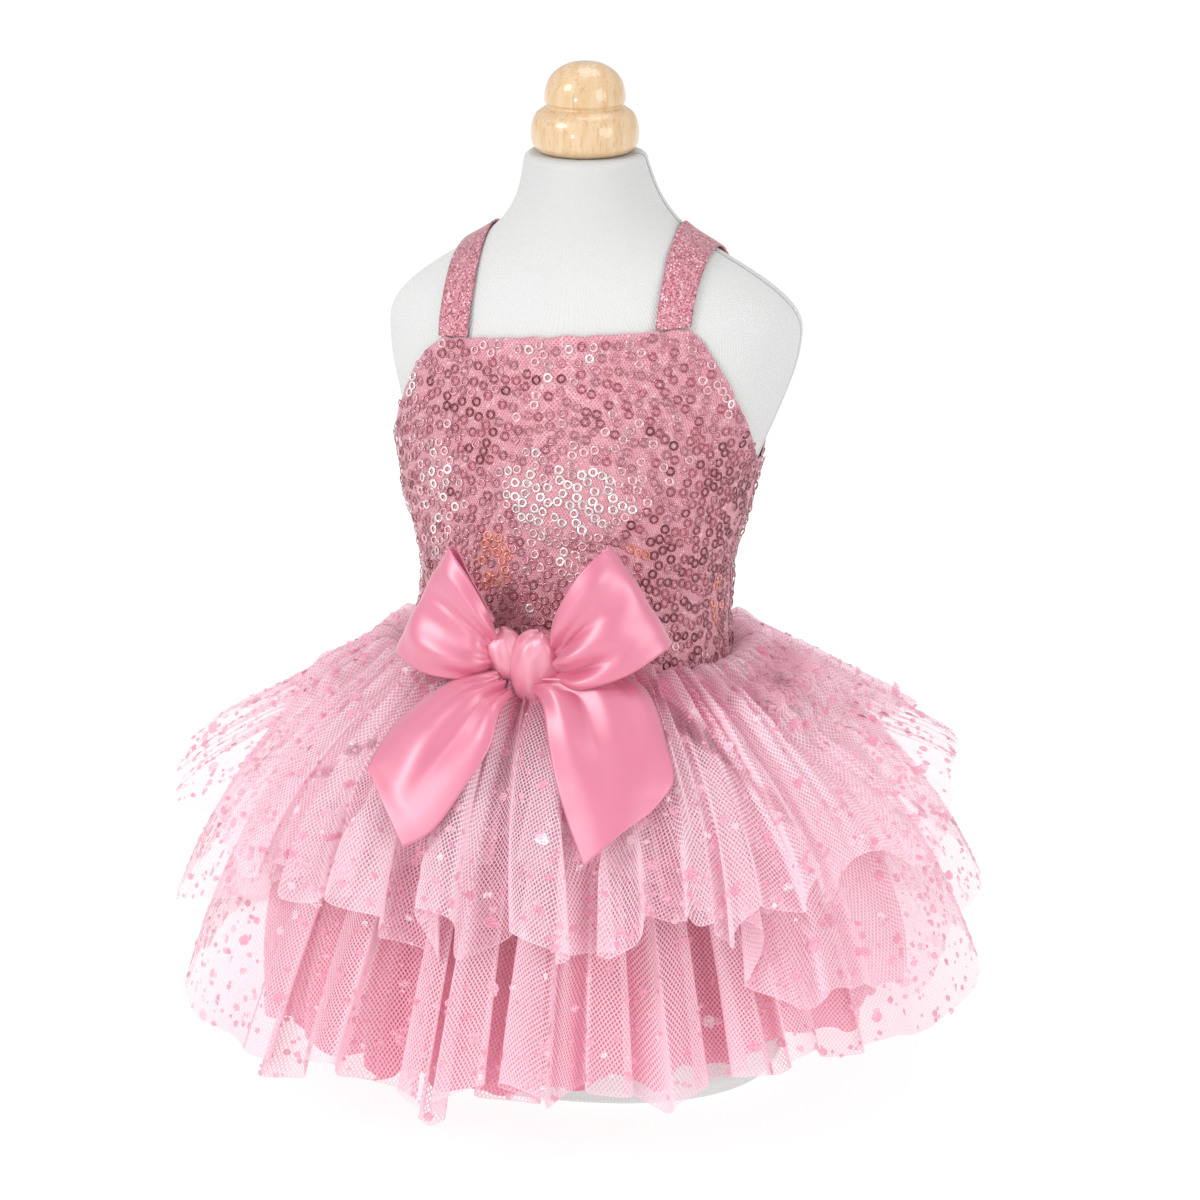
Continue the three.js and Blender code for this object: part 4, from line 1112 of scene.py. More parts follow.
# each tier: number of deep folds, how far they overlap, how deep, cloth cut in metres
TIERS = {
    "tulle_lower": {"folds": 30, "loop": 0.20, "deep": 7.0, "puff": 0.3, "cut": (1.46, 0.172), "seed": 11, "hem": 0.030, "slant": 0.035, "veil": 0.19, "lobe": 0.20, "gather": 3.3, "lift": 1.0},
    "tulle_middle": {"folds": 28, "loop": 0.18, "deep": 6.0, "puff": 0.6, "cut": (1.36, 0.133), "seed": 23, "hem": 0.030, "slant": 0.048, "veil": 0.20, "lobe": 0.22, "gather": 3.5, "lift": 2.2, "table": HEM_MIDDLE},
    "tulle_upper": {"folds": 31, "loop": 0.20, "deep": 6.6, "puff": 1.2, "cut": (1.45, 0.119), "seed": 37, "hem": 0.045, "slant": 0.080, "veil": 0.26, "lobe": 0.10, "gather": 4.9, "lift": 4.6, "table": HEM_UPPER},
}


def quiet(name, t, s):
    """Where folds are held flat: under the bow's tails on the upper tier."""
    if name != "tulle_upper":
        return 1.0
    d = (np.degrees(t) + 180) % 360 - 180
    left = bump_at(d, -112, 15) * (1 - ss(s, 0.62, 0.85))
    right = bump_at(d, -60, 17) * (1 - ss(s, 0.66, 0.9))
    return 1 - 0.85 * np.maximum(left, right)


RUFFLES = {"right": (-46, 26, 301, 1.0), "left": (-192, -144, 311, 0.6), "back": (70, 116, 321, 0.8)}


def wings(t, wide=0.66):
    """1 at the two sides, where the net stands out flat and smooth, 0 in front and behind."""
    return np.exp(-(np.abs(np.sin(np.asarray(t, float) - 0.2)) / wide) ** 4)


class Folds:
    """Uneven folds round a tier: phase, width in radians and size at each angle."""

    def __init__(self, count, seed):
        r = np.random.default_rng(seed)
        w = r.uniform(0.45, 1.75, count)
        mid = (np.arange(count) + 0.5) / count * 2 * PI
        w *= 1 + 0.15 * wings(mid)
        w *= 2 * PI / w.sum()
        edge = np.concatenate([[0], np.cumsum(w)])
        fine = np.linspace(0, 2 * PI, 7201)
        ph = np.interp(fine, edge, 2 * PI * np.arange(count + 1))
        wd = np.interp(fine, (edge[:-1] + edge[1:]) / 2, w, period=2 * PI)
        k = np.exp(-0.5 * (np.arange(-60, 61) / 16.0) ** 2)
        k /= k.sum()
        base = ph - fine * count

        def smooth(a):
            p = np.concatenate([a[-61:-1], a, a[1:61]])
            return np.convolve(p, k, "valid")

        self.fine, self.base, self.wd, self.count = fine, smooth(base), smooth(wd), count
        side = r.uniform(-1, 1, count)
        deep = r.uniform(0.45, 1.15, count)
        slant = r.uniform(-1, 1, count)
        c = (edge[:-1] + edge[1:]) / 2
        self.side = smooth(np.interp(fine, c, side, period=2 * PI))
        self.deep = smooth(np.interp(fine, c, deep, period=2 * PI))
        self.slant = smooth(np.interp(fine, c, slant, period=2 * PI))

    def at(self, t):
        q = np.mod(t, 2 * PI)
        f = lambda a: np.interp(q, self.fine, a)
        return self.count * np.asarray(t, float) + f(self.base), f(self.wd), f(self.side), f(self.deep), f(self.slant)


TOGETHER = Ring(77, 9, 31)       # the lining and the tiers are gathered into one seam, so they fold as one there


def gathers(th, S):
    return np.sin(72 * th + 2.6 * TOGETHER(th)) * np.exp(-S * 2.3) * np.minimum(1, S * 22)


# slits between folds that show the lining: direction and part of the length at both ends, width in degrees
SLITS = [
    {"from": -121.5, "s0": 0.47, "to": -133, "s1": 0.66, "wide": 1.9, "by": 1.0},
    {"from": -94, "s0": 0.42, "to": -95, "s1": 0.62, "wide": 3.2, "by": 0.25},
    {"from": -56, "s0": 0.10, "to": -45, "s1": 0.52, "wide": 3.4, "by": 0.9},
    {"from": -45, "s0": 0.52, "to": -38, "s1": 0.92, "wide": 1.4, "by": 0.7},
    {"from": -136, "s0": 0.10, "to": -140, "s1": 0.36, "wide": 1.6, "by": 0.7},
    {"from": 40, "s0": 0.15, "to": 50, "s1": 0.5, "wide": 2.6, "by": 0.7},
    {"from": 118, "s0": 0.2, "to": 122, "s1": 0.6, "wide": 2.4, "by": 0.7},
]


def slits(th, S):
    d = (np.degrees(th) + 180) % 360 - 180
    g = np.zeros(np.broadcast(d, S).shape)
    for r in SLITS:
        q = (S - r["s0"]) / (r["s1"] - r["s0"])
        c = r["from"] + (r["to"] - r["from"]) * np.clip(q, 0, 1)
        w = r["wide"] * (0.35 + 0.65 * np.sin(np.clip(q, 0, 1) * PI))
        g = np.maximum(g, r["by"] * np.exp(-((d - c) / w) ** 4) * ss(q, -0.12, 0.05) * (1 - ss(q, 0.95, 1.12)))
    return g


def tier_surface(name, th, v):
    k = [L["name"] for L in LAYERS].index(name)
    T = TIERS[name]
    sd = T["seed"]
    n2, n3, n4 = Ring(sd + 1, 2, 9), Ring(sd + 2, 9, 31), Ring(sd + 3, 16, 46)
    hem = hem_of(sd + 5, T["hem"], T.get("table"))
    phase, width, side, deep, slant = FOLD_SETS[name].at(th)
    wing = wings(th)
    S = v * hem(th) * (1 + T["slant"] * slant * np.sin(phase) * (1 - wing))
    drift = 0.95 * n2(th) * v
    phase = phase + drift
    d = (np.degrees(th) + 180) % 360 - 180
    # a broad smooth lobe at the right of the front; a smaller one at the left is computed but not used
    lobe_r, lobe_l = bump_at(d, -22, 19), bump_at(d, -152, 15)
    calm = (1 - 0.96 * wing) * quiet(name, th, S) * (1 - 0.75 * lobe_r * (name != "tulle_lower"))
    grow = 0.42 * ss(S, 0, 0.06) + 0.58 * np.clip(S, 0, 1.2)
    amp = 1 - 0.88 * wing
    over = 0.55 * ss(S, 0, 0.10) + 0.45 * np.clip(S, 0, 1.1)
    t2 = th + width * calm * over * (0.20 * side * np.sin(phase) - T["loop"] * deep * np.sin(2 * phase))
    e = 0.012
    B = layer_point(k, t2, S, amp)
    du = layer_point(k, t2 + e, S, amp) - layer_point(k, t2 - e, S, amp)
    dv = layer_point(k, t2, np.minimum(S + e, 1.3), amp) - layer_point(k, t2, S - e, amp)
    n = np.cross(dv, du)
    n /= np.maximum(np.linalg.norm(n, axis=-1, keepdims=True), 1e-9)
    depth = T["deep"] * deep * np.clip(width / (2 * PI / T["folds"]), 0.4, 1.5) * calm * grow
    w = depth * np.sin(phase) - 0.55 * depth
    gather = gathers(th, S)
    fine = T["gather"] * gather * (0.65 + 0.35 * quiet(name, th, 0 * S)) + T["lift"] * np.exp(-S * 2.3) * np.minimum(1, S * 22)
    tone = gather * np.exp(-S * 1.9)
    puff = T["puff"] * (0.55 + 0.6 * n3(th)) * bump_at(S, 0.085, 0.05)
    wave = wing * (1.3 * n2(2 * th + 1) + 0.6 * np.sin(5 * th + 3 * S)) * S * S
    # the gathers puff up into a crumpled ruffle at the two sides of the waist
    if name == "tulle_upper":
        at = bump_at(d, -4, 26) + 0.7 * bump_at(d, -168, 20)
        puff = puff + at * (1 + 0.45 * n4(th)) * (4.8 * bump_at(S, 0.31, 0.11) - 2.4 * bump_at(S, 0.50, 0.06))
        puff = puff + at * 1.6 * n4(2 * th + 1.7 * S) * bump_at(S, 0.28, 0.14)
    P = B + n * (w + fine + puff + wave)[..., None]
    # the gathered edge is tucked under the bodice's lower edge
    tuck = np.exp(-(S / 0.035) ** 2)
    inn = ((k - 0.5) * LAYER_STEP + 0.9 - 0.3 * k) * tuck
    P[..., 0] -= inn * np.cos(th)
    P[..., 1] -= inn * np.sin(th)
    P[..., 2] += (1.2 + (len(LAYERS) - 1 - k) * (LAYER_DROP - 0.25)) * tuck * 0.9
    # how dense the net lies: denser, so paler, on the crests as a painted highlight, dense where it turns over, sheer
    # and even at the sides
    flat = normals(layer_point(k, th, S, 0.0), True)
    turned = 1 - np.abs((normals(P, True) * flat).sum(-1))
    crease = ss(turned, 0.04, 0.42)
    crest = 0.5 + 0.5 * np.sin(phase)
    # the sheer sides hang a little flatter than their solids
    P[..., 2] -= {"tulle_lower": 2.0, "tulle_middle": 4.0, "tulle_upper": 6.5}[name] * wing * ss(S, 0, 0.28) * (1 - ss(S, 0.55, 1.0))
    dense = (0.03 + 0.10 * crest) * (1 - wing) + T["veil"] * wing + 0.46 * crease * (1 - 0.75 * wing)
    back = np.gradient(t2, axis=0) / (2 * PI / len(th))
    dense += 0.38 * np.clip(1 - np.abs(back), 0, 1) * (1 - wing) * ss(S, 0.05, 0.3)
    # denser in the gather valleys, to carry their painted shade
    valley = np.clip(-tone, 0, 1)
    veil = lobe_r * (1 - 0.35 * wing) + bump_at(d, -137, 14)
    dense += 0.14 * np.clip(tone, 0, 1) + 0.42 * valley + T["lobe"] * veil * ss(S, 0.2, 0.5)
    gap = slits(th, S) if name != "tulle_lower" else 0 * S
    dense = np.clip(dense, 0.02, 0.9) * (1 - 0.9 * gap)
    # painted shade: near the seam the gathers stay pale on their crests and are painted deep pink between them; the
    # fold valleys are painted pinker too, less where the net turns over
    shows = (0.92 - 0.50 * wings(th, 0.6)) * (0.62 + 0.38 * ss(S, 0.06, 0.40)) * (1 - 0.3 * valley) * (1 - 0.85 * gap)
    near = 1 - ss(S, 0.10, 0.55)
    painted_valley_shade = 1.5 * valley + (1 - crest) * (1 - wing) * (0.30 + 0.45 * near) + 0.25 * near * (1 - 0.6 * wing) - 0.35 * crease
    return P, dense, shows, np.clip(painted_valley_shade, 0, 1) * (1 - 0.5 * wing)


def build_tier(name, nu, nv):
    th = np.linspace(0, 2 * PI, nu, endpoint=False)
    vv = np.linspace(0, 1, nv) ** 0.9
    T, V = np.meshgrid(th, vv, indexing="ij")
    P, dense, shows, painted_valley_shade = tier_surface(name, T, V)
    # each fold has the net's grain of its own: lengths along the cloth, turned a little
    step = np.linalg.norm(np.roll(P, -1, 0) - P, axis=-1)
    arc = np.concatenate([np.zeros((1, nv)), np.cumsum(step, 0)])
    down = np.concatenate([[0], np.cumsum(np.linalg.norm(np.diff(P, axis=1), axis=2).mean(0))])
    phase = FOLD_SETS[name].at(th + PI / nu)[0]
    fold = np.floor(phase / (2 * PI) + 0.25).astype(int)
    ids = fold - fold.min()
    first = np.array([np.where(ids == q)[0].mean() if (ids == q).any() else 0 for q in range(ids.max() + 1)]).astype(int)
    rng = np.random.default_rng(TIERS[name]["seed"] + 40)
    turn = rng.uniform(-0.22, 0.22, ids.max() + 1)
    i, j = np.meshgrid(np.arange(nu), np.arange(nv - 1), indexing="ij")
    c = first[ids[i]]
    co, si = np.cos(turn[ids[i]]), np.sin(turn[ids[i]])

    def corner(ii, jj):
        a, b = arc[ii, jj] - arc[c, jj], down[jj]
        return np.stack([(a * co - b * si) * MM, (a * si + b * co) * MM], -1)

    i2 = (i + 1) % nu
    A, B2, C, D = i * nv + j, i2 * nv + j, i2 * nv + j + 1, i * nv + j + 1
    N = normals(P, True)
    ref = P.copy()
    ref[..., 2] = 0
    ca, cb, cc, cd = corner(i, j), corner(i + 1, j), corner(i + 1, j + 1), corner(i, j + 1)
    flip = (N * ref).sum() < 0
    F = np.stack([A, B2, C, D] if not flip else [A, D, C, B2], -1).reshape(-1, 4)
    L = np.stack([ca, cb, cc, cd] if not flip else [ca, cd, cc, cb], 2).reshape(-1, 4, 2)
    ob = raw_mesh(name + "_net", P.reshape(-1, 3), F, L, (TULLE_MATS[name],))
    far = np.broadcast_to(((down[-1] - down) * MM)[None], dense.shape)
    which = np.empty(len(ob.data.loops), np.int32)
    ob.data.loops.foreach_get("vertex_index", which)
    for key, a, b in (("Tier", dense, far), ("Yarn", shows, painted_valley_shade)):
        table = np.stack([a, b], -1).reshape(-1, 2)
        ob.data.uv_layers.new(name=key).data.foreach_set("uv", table[which].astype(np.float32).ravel())
    ob.data.uv_layers["UVMap"].active_render = True
    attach(ob, "root")
    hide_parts(name)
    return ob, P


def build_ruffle(name, key, d0, d1, seed, size):
    """A free flap of the upper tier's net that stands up from the gathers beside the waist."""
    nu, nv = 150, 9
    n5, n6 = Ring(seed, 14, 40), Ring(seed + 1, 5, 15)
    th, q = np.meshgrid(np.radians(np.linspace(d0, d1, nu)), np.linspace(0, 1, nv), indexing="ij")
    ends = np.sin(PI * (np.degrees(th) - d0) / (d1 - d0)) ** 0.9
    low = 0.12 + 0.02 * n6(th)
    v = low + (0.20 + 0.035 * n5(th)) * q * ends
    P = tier_surface(name, th, v)[0]
    N = normals(P, False)
    out = P * (1, 1, 0)
    if (N * out).sum() < 0:
        N = -N
    wave = np.sin(46 * th + 2.4 * n6(th)) + 0.5 * n5(th)
    lift = 1.3 + q ** 1.3 * ends * size * (4.2 + 2.3 * wave)
    P = P + N * lift[..., None]
    P[..., 2] += 0.7 * q * ends * wave
    i, j = np.meshgrid(np.arange(nu - 1), np.arange(nv - 1), indexing="ij")
    step = np.concatenate([[0], np.cumsum(np.linalg.norm(np.diff(P[:, -1], axis=0), axis=1))])
    down = np.concatenate([[0], np.cumsum(np.linalg.norm(np.diff(P, axis=1), axis=2).mean(0))])
    F = np.stack([i * nv + j, (i + 1) * nv + j, (i + 1) * nv + j + 1, i * nv + j + 1], -1).reshape(-1, 4)
    uv = np.stack(np.broadcast_arrays(step[:, None], down[None]), -1).reshape(-1, 2) * MM
    L = uv[F]
    ob = raw_mesh(f"{name}_ruffle_{key}", P.reshape(-1, 3), F, L, (TULLE_MATS[name],))
    which = np.empty(len(ob.data.loops), np.int32)
    ob.data.loops.foreach_get("vertex_index", which)
    # painted highlight and shade: the ruffle's net is denser, so paler, on its wave crests and painted deep pink in the
    # troughs
    crest = 0.5 + 0.5 * np.tanh(wave)
    for kind, a, b in (("Tier", 0.06 + 0.12 * crest, np.broadcast_to(((down[-1] - down) * MM)[None], q.shape)),
                       ("Yarn", 0.52 + 0 * q, 0.35 + 0.6 * (1 - crest) * (1 - 0.4 * q))):
        table = np.stack([a, b], -1).reshape(-1, 2)
        ob.data.uv_layers.new(name=kind).data.foreach_set("uv", table[which].astype(np.float32).ravel())
    ob.data.uv_layers["UVMap"].active_render = True
    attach(ob, "root")
    return ob


def build_spots(name, P, count, seed):
    """Irregular flocked flecks on the net, from tiny grains to blots of a few millimetres."""
    rng = np.random.default_rng(seed)
    nu, nv = P.shape[:2]
    area = np.linalg.norm(np.cross(np.roll(P, -1, 0)[:, :-1] - P[:, :-1], P[:, 1:] - P[:, :-1]), axis=-1)
    th = np.linspace(0, 2 * PI, nu, endpoint=False)
    vv = (np.arange(nv - 1) / (nv - 1))
    area = area * (1 + 0.85 * wings(th))[:, None] * (0.55 + 0.6 * vv)[None]
    cum = np.cumsum(area.ravel())
    pick = np.searchsorted(cum, rng.uniform(0, cum[-1], count))
    pick = np.minimum(pick, area.size - 1)
    i, j = pick // (nv - 1), pick % (nv - 1)
    a, b = rng.uniform(0, 1, (2, count, 1))
    i2 = (i + 1) % nu
    p = (P[i, j] * (1 - a) + P[i2, j] * a) * (1 - b) + (P[i, j + 1] * (1 - a) + P[i2, j + 1] * a) * b
    du, dv = P[i2, j] - P[i, j], P[i, j + 1] - P[i, j]
    n = np.cross(dv, du)
    ln = np.linalg.norm(n, axis=1, keepdims=True)
    good = ln[:, 0] > 1e-6
    p, du, n = p[good], du[good], (n / np.maximum(ln, 1e-9))[good]
    du /= np.maximum(np.linalg.norm(du, axis=1, keepdims=True), 1e-9)
    dv = np.cross(n, du)
    m = len(p)
    seg = 7
    kind = rng.uniform(0, 1, m)
    wing = wings(th, 0.62)[i[good]]
    glitter = rng.uniform(0, 1, m) > 0.38 + 0.6 * wing
    size = np.where(kind < 0.50, rng.uniform(0.30, 0.75, m), np.where(kind < 0.88, rng.uniform(0.75, 1.25, m), rng.uniform(1.25, 2.1, m)))
    size = np.where(glitter, 0.5 + size * 1.2, size * (1 + 0.42 * wing))
    ang = np.linspace(0, 2 * PI, seg, endpoint=False)[None] + rng.uniform(0, 2 * PI, (m, 1)) + rng.normal(0, 0.08, (m, seg))
    rr = size[:, None] * np.clip(1 + rng.normal(0, 1, (m, seg)) * np.where(glitter, 0.24, 0.12)[:, None], 0.45, 1.5)
    st = rng.uniform(0.72, 1.0, (m, 1))
    x, y = rr * np.cos(ang), rr * np.sin(ang) * st
    off = 0.16 + rng.uniform(0, 0.08, (m, 1))
    rim = p[:, None] + x[..., None] * du[:, None] + y[..., None] * dv[:, None] + n[:, None] * off[..., None]
    mid = (p + n * (off + 0.12))[:, None]
    V = np.concatenate([mid, rim], 1)
    tri = np.array([(0, 1 + q, 1 + (q + 1) % seg) for q in range(seg)])
    F = (tri[None] + (np.arange(m) * (seg + 1))[:, None, None]).reshape(-1, 3)
    ob = raw_mesh(name + "_spots", V.reshape(-1, 3), F, None, SPOT_MATS)
    ob.data.polygons.foreach_set("material_index", np.repeat(glitter.astype(np.int32), seg))
    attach(ob, "root")
    return ob


def build_lining(nu=640, nv=48):
    th = np.linspace(0, 2 * PI, nu, endpoint=False)
    v = np.linspace(0, 1, nv)
    T, V = np.meshgrid(th, v, indexing="ij")
    n1, n2, n3 = Ring(51, 3, 14), Ring(52, 10, 34), Ring(53, 2, 8)
    S = V * (1 + 0.012 * n2(T))
    phase = 38 * T + 1.8 * n1(T) + 0.5 * n3(T) * V
    size = np.clip(0.7 + 0.45 * n2(T), 0.1, 1.3)
    grow = S ** 0.8
    B = layer_point(0, T, S)
    r = np.hypot(B[..., 0], B[..., 1] - SKIRT_CENTRE_Y)
    t2 = T - 0.9 * size * grow * np.sin(2 * phase) / r
    e = 0.012
    B = layer_point(0, t2, S)
    du = layer_point(0, t2 + e, S) - layer_point(0, t2 - e, S)
    dv = layer_point(0, t2, S + e) - layer_point(0, t2, S - e)
    n = np.cross(dv, du)
    n /= np.maximum(np.linalg.norm(n, axis=-1, keepdims=True), 1e-9)
    w = size * grow * (2.3 * np.sin(phase) - 0.9) + 2.2 * gathers(T, S)
    P = B + n * w[..., None]
    uv = np.stack(np.broadcast_arrays(np.linspace(0, 0.95, nu + 1)[:, None], (0.165 * (1 - v))[None]), -1)
    ob = grid_mesh("skirt_lining_satin", P, uv, mat_lining(), closed=True)
    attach(ob, "root")
    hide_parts("skirt_lining")
    return ob


# ---------------------------------------------------------------- bow
def bow_piece(name, node, rows, along, across, shape, cut, thick=0.7):
    P = ribbon_grid(rows, along, across)
    u, q = np.meshgrid(np.linspace(0, 1, along), np.linspace(0, 1, across), indexing="ij")
    N = normals(P)
    if (N * np.array([0, -1, 0.3])).sum() < 0:
        N = -N
    P = P + N * shape(u, q)[..., None]
    uv = np.stack([q * cut[0], u * cut[1]], -1)
    ob = grid_mesh(name, P, uv, SATIN_MAT, out=(KNOT["x"], KNOT["y"] + 60, KNOT["z"]))
    thicken(ob, thick, 0.0)
    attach(ob, "root")
    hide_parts(node)
    return ob


# the loops as the soft ribbon lies: the front layer covers the opening
SOFT_LEFT = [
    {"ux": -10.5, "uy": -3, "uz": 7, "lx": -10.5, "ly": -3, "lz": -6},
    {"ux": -13.2, "uy": -9, "uz": 20.5, "lx": -22.5, "ly": -11, "lz": -7.5},
    {"ux": -21, "uy": -7.5, "uz": 32.8, "lx": -38, "ly": -10, "lz": -6.5},
    {"ux": -30, "uy": -1, "uz": 41.5, "lx": -51.5, "ly": -1, "lz": -2},
    {"ux": -29, "uy": 4, "uz": 40.5, "lx": -52, "ly": 7, "lz": 0},
    {"ux": -23, "uy": 4, "uz": 28.5, "lx": -38, "ly": 7, "lz": 1},
    {"ux": -13.5, "uy": 3, "uz": 12.5, "lx": -22, "ly": 6, "lz": -1},
]
SOFT_RIGHT = [
    {"ux": 10.5, "uy": -3, "uz": 7, "lx": 10.5, "ly": -3, "lz": -6.5},
    {"ux": 15, "uy": -10, "uz": 21, "lx": 24, "ly": -13, "lz": -7},
    {"ux": 23.5, "uy": -9, "uz": 37, "lx": 42, "ly": -12, "lz": -1.5},
    {"ux": 32.5, "uy": -1, "uz": 46, "lx": 56, "ly": -1, "lz": 7.5},
    {"ux": 32, "uy": 5, "uz": 44, "lx": 55, "ly": 8, "lz": 8},
    {"ux": 24, "uy": 7, "uz": 31, "lx": 40, "ly": 8, "lz": 3},
    {"ux": 14, "uy": 5, "uz": 15, "lx": 22, "ly": 5, "lz": -1},
]


def loop_shape(side):
    # creases fan out from the knot at both ends of the loop: where across the ribbon, how wide, how deep
    fan = [(0.10, 0.05, 1.3), (0.24, 0.045, -1.7), (0.40, 0.06, 1.8), (0.55, 0.05, -1.7), (0.70, 0.06, 1.7), (0.86, 0.05, -1.4)]

    def f(u, q):
        h = np.zeros(u.shape)
        root = np.exp(-u * 4.4) + 0.8 * np.exp(-(1 - u) * 4.6)
        for c, w, d in fan:
            c2 = c + 0.04 * side + 0.09 * np.sin(u * 3.0 + c * 9)
            h = h + d * np.exp(-((q - c2) / (w * (0.8 + 2.2 * np.minimum(u, 1 - u)))) ** 2) * root
        h += 0.9 * np.sin(q * PI) * np.sin(u * PI)
        front = ss(u, 0.02, 0.12) * (1 - ss(u, 0.38, 0.5))
        if side < 0:
            # a curled upper edge, the crease below it, a hollow and a full outer rim
            h += 2.1 * front * bump_at(q, 0.13 + 0.05 * u, 0.10)
            h -= 2.0 * front * bump_at(q, 0.33 + 0.10 * u, 0.06)
            h -= 1.5 * front * bump_at(q, 0.54, 0.13) * ss(u, 0.12, 0.3)
            h += 2.0 * front * bump_at(q, 0.80, 0.12)
        else:
            # the lower edge turns out beside the knot; a broad hollow above it
            low = bump_at(u, 0.18, 0.13)
            h -= 2.6 * low * bump_at(q, 0.42, 0.05)
            h += 3.6 * low * bump_at(q, 0.59, 0.10)
            h -= 4.6 * low * bump_at(q, 0.79, 0.06)
            h += 2.6 * low * bump_at(q, 0.95, 0.07)
            h += 1.5 * front * bump_at(q, 0.14, 0.12)
            h -= 1.9 * front * bump_at(q, 0.36 + 0.12 * u, 0.12)
            h += 1.3 * bump_at(u, 0.37, 0.07) * np.sin(q * PI)
        return h
    return f


# the tails start behind the knot, higher than the solids do
SOFT_TAIL_LEFT = [{"ux": -11, "uy": -5, "uz": -4.5, "lx": -3, "ly": -9, "lz": -12.5, "crown": 0},
                  {"ux": -27.5, "uy": -12, "uz": -9.3, "lx": -3.8, "ly": -24, "lz": -16, "crown": 3}] + TAIL_LEFT[2:]
SOFT_TAIL_RIGHT = [{"ux": 4.5, "uy": -9, "uz": -11, "lx": 12, "ly": -6, "lz": -3.5, "crown": 0}] + TAIL_RIGHT[1:]


def tail_shape(side):
    fan = [(0.16, 0.06, 1.7), (0.36, 0.055, -1.7), (0.56, 0.08, 1.8), (0.80, 0.05, -1.4)]

    def f(u, q):
        h = np.zeros(u.shape)
        root = np.exp(-u * 3.2)
        for c, w, d in fan:
            h = h + d * np.exp(-((q - c - 0.10 * side * u) / (w * (0.7 + 1.6 * u))) ** 2) * root
        if side < 0:
            h += 3.2 * bump_at(q, 0.34, 0.24) * bump_at(u, 0.45, 0.28)
            h -= 1.8 * bump_at(q, 0.66 - 0.1 * u, 0.10) * (1 - ss(u, 0.45, 0.9))
            h += 1.2 * bump_at(q, 0.9, 0.10) * bump_at(u, 0.25, 0.2)
        else:
            h += 2.8 * bump_at(q, 0.16, 0.11) * bump_at(u, 0.16, 0.12)
            h -= 2.6 * bump_at(q, 0.42, 0.16) * bump_at(u, 0.26, 0.16)
            h += 2.0 * bump_at(q, 0.84, 0.14) * bump_at(u, 0.34, 0.2)
            h += 1.0 * bump_at(q, 0.45, 0.30) * bump_at(u, 0.75, 0.25)
        h += 0.4 * np.sin(u * 7 + side) * np.sin(q * PI) * u
        return h
    return f


def lobe(centre, r, tiltdeg, seed, squash=1.0):
    """A puffed turn of ribbon: an upright roll with soft lengthwise folds."""
    nu, nv = 96, 60
    a = np.linspace(0, 2 * PI, nu, endpoint=False)
    b = np.linspace(0.02, PI - 0.02, nv)
    A, B = np.meshgrid(a, b, indexing="ij")
    rng = np.random.default_rng(seed)
    p = rng.uniform(0, 2 * PI, 4)
    fold = (0.065 * np.sin(3 * A + p[0] + 2.4 * np.cos(B)) + 0.038 * np.sin(6 * A + p[1] + 3.0 * np.cos(B * 1.2))
            + 0.016 * np.sin(11 * A + p[2] + 2.5 * B)) * np.sin(B) ** 0.6
    rr = 1 + fold
    x = np.sign(np.sin(B)) * np.abs(np.sin(B)) ** 0.75 * np.cos(A) * rr
    y = np.abs(np.sin(B)) ** 0.75 * np.sin(A) * rr
    z = np.sign(np.cos(B)) * np.abs(np.cos(B)) ** 0.9 * (1 + 0.06 * np.sin(3 * A + p[3]))
    x, y, z = x * r[0], y * r[1], z * r[2]
    q = math.radians(tiltdeg)
    X, Z = x * math.cos(q) + z * math.sin(q), -x * math.sin(q) + z * math.cos(q)
    P = np.stack([X + centre[0], y + centre[1], Z + centre[2]], -1)
    return P, A, B


def build_knot():
    k = np.array([KNOT["x"], KNOT["y"], KNOT["z"]])
    parts = [lobe(k + [-7.4, -0.8, 0.6], (7.6, 7.4, 10.4), -14, 3), lobe(k + [4.6, -2.6, -3.0], (9.8, 8.2, 14.2), 7, 8)]
    V, F, L, base = [], [], [], 0
    for P, A, B in parts:
        nu, nv = P.shape[:2]
        i, j = np.meshgrid(np.arange(nu), np.arange(nv - 1), indexing="ij")
        i2 = (i + 1) % nu
        f = np.stack([i * nv + j, i * nv + j + 1, i2 * nv + j + 1, i2 * nv + j], -1).reshape(-1, 4)
        uu = np.linspace(0, 0.05, nu + 1)
        vv = np.linspace(0, 0.03, nv)
        l = np.stack([np.stack([uu[i], vv[j]], -1), np.stack([uu[i], vv[j + 1]], -1), np.stack([uu[i + 1], vv[j + 1]], -1), np.stack([uu[i + 1], vv[j]], -1)], 2).reshape(-1, 4, 2)
        V.append(P.reshape(-1, 3))
        F.append(f + base)
        L.append(l)
        base += nu * nv
    ob = raw_mesh("bow_knot_satin", np.concatenate(V), np.concatenate(F), np.concatenate(L), (KNOT_HIGHLIGHT_MAT,))
    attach(ob, "root")
    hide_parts("bow_knot")
    return ob


# ---------------------------------------------------------------- the object
NET_MM = 1.35                    # from yarn to yarn of the net
MESH_MAT, SEQUIN_MATS, LUREX_MAT, SATIN_MAT, SPOT_MATS = mat_mesh(), mat_sequin(), mat_lurex(), mat_satin(), mat_spots()
# the knot is the ribbon's satin painted lighter: a painted highlight for its milky sheen
KNOT_HIGHLIGHT_MAT = mat_satin("pink_satin_knot_painted_highlight", (0.72, 0.19, 0.30), (0.82, 0.27, 0.385))
FOLD_SETS = {nm: Folds(T["folds"], T["seed"]) for nm, T in TIERS.items()}
TULLE_MATS = {"tulle_lower": mat_tulle("tulle_net_lower", (0.96, 0.62, 0.715), 0.165),
              "tulle_middle": mat_tulle("tulle_net_middle", (0.97, 0.64, 0.735), 0.135),
              "tulle_upper": mat_tulle("tulle_net_upper", (0.985, 0.67, 0.76), 0.14)}

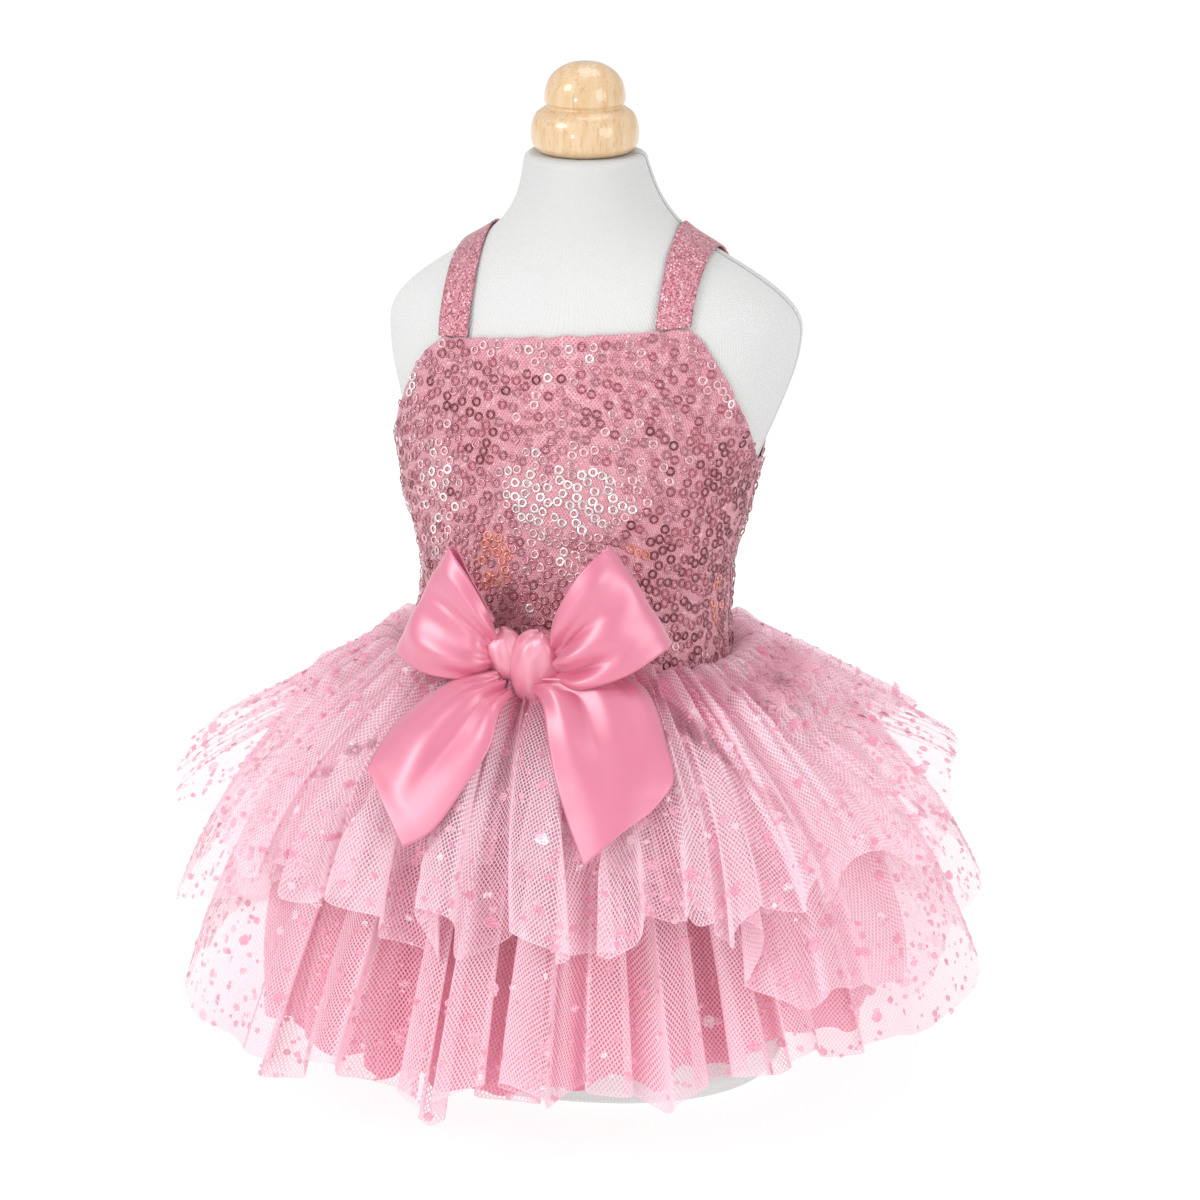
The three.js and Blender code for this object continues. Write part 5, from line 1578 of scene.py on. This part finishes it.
build_form()
build_knob()
front, back = build_bodice(True), build_bodice(False)
seq_f = build_sequins(True, 1120, 5, front)
seq_b = build_sequins(False, 860, 6, back)
for sd in (-1, 1):
    st = build_strap(sd)
lining = build_lining()
for nm, cnt, nu, nv, sdd in (("tulle_lower", 3100, 1040, 42, 71), ("tulle_middle", 2800, 1040, 38, 72), ("tulle_upper", 3100, 1120, 44, 73)):
    net, P = build_tier(nm, nu, nv)
    spots = build_spots(nm, P, cnt, sdd)
    extra = [build_ruffle(nm, key, *row) for key, row in RUFFLES.items()] if nm == "tulle_upper" else []

for nm, node, rows, sd, ln in (("bow_loop_left_satin", "bow_loop_left", SOFT_LEFT, -1, 0.085), ("bow_loop_right_satin", "bow_loop_right", SOFT_RIGHT, 1, 0.095)):
    ob = bow_piece(nm, node, rows, 130, 44, loop_shape(sd), (0.046, ln))
for nm, node, rows, sd, ln in (("bow_tail_left_satin", "bow_tail_left", SOFT_TAIL_LEFT, -1, 0.075), ("bow_tail_right_satin", "bow_tail_right", SOFT_TAIL_RIGHT, 1, 0.085)):
    ob = bow_piece(nm, node, rows, 100, 44, tail_shape(sd), (0.046, ln))
knot = build_knot()

# ---------------------------------------------------------------- floor, light and camera
def stage_mesh():
    me = bpy.data.meshes.new("floor")
    s = 9.0
    me.from_pydata([(-s, -s, -0.0004), (s, -s, -0.0004), (s, s, -0.0004), (-s, s, -0.0004)], [], [(0, 1, 2, 3)])
    ob = bpy.data.objects.new("floor", me)
    bpy.context.scene.collection.objects.link(ob)
    m = Nodes("floor_paper")
    m.set("Base Color", m.mix(m.noise(3, 2), (0.20, 0.20, 0.20), (0.205, 0.205, 0.205)))
    m.set("Roughness", 0.95)
    m.set("Specular IOR Level", 0.1)
    m.set("Emission Color", (1, 1, 1, 1))
    m.set("Emission Strength", 0.885)
    me.materials.append(m.mat)


def area_light(name, where, look, size, power, color=(1, 1, 1)):
    d = bpy.data.lights.new(name, "AREA")
    d.shape = "DISK"
    d.size = size
    d.energy = power
    d.color = color
    ob = bpy.data.objects.new(name, d)
    ob.location = where
    ob.rotation_euler = (Vector(look) - Vector(where)).to_track_quat("-Z", "Y").to_euler()
    bpy.context.scene.collection.objects.link(ob)
    return ob


stage_mesh()
area_light("key", (-1.5, -1.6, 1.7), (0, 0, 0.2), 1.1, 26)
area_light("fill", (1.9, -1.0, 0.9), (0, 0, 0.2), 1.2, 13)
area_light("top", (0.1, 0.5, 2.2), (0, 0, 0.2), 1.3, 10)
area_light("glint", (-0.45, -2.2, 0.52), (0, 0, 0.23), 0.28, 4)

world = bpy.data.worlds.new("studio")
bpy.context.scene.world = world
world.use_nodes = True
bg = world.node_tree.nodes["Background"]
bg.inputs[0].default_value = (1, 1, 1, 1)
bg.inputs[1].default_value = 0.61

AZ, EL, DIST = math.radians(15), math.radians(16), 2.0
LOOK = Vector((0, 0, 0.190))
away = Vector((math.sin(AZ) * math.cos(EL), -math.cos(AZ) * math.cos(EL), math.sin(EL)))
cam_data = bpy.data.cameras.new("camera")
cam_data.lens = 150
cam_data.sensor_width = 36
cam_data.shift_x = 0.0125
cam_data.clip_end = 60
cam = bpy.data.objects.new("camera", cam_data)
cam.location = LOOK + away * DIST
cam.rotation_euler = (-away).to_track_quat("-Z", "Y").to_euler()
bpy.context.scene.collection.objects.link(cam)
bpy.context.scene.camera = cam
bpy.context.scene.view_settings.view_transform = "Standard"
bpy.context.scene.cycles.transparent_max_bounces = 40
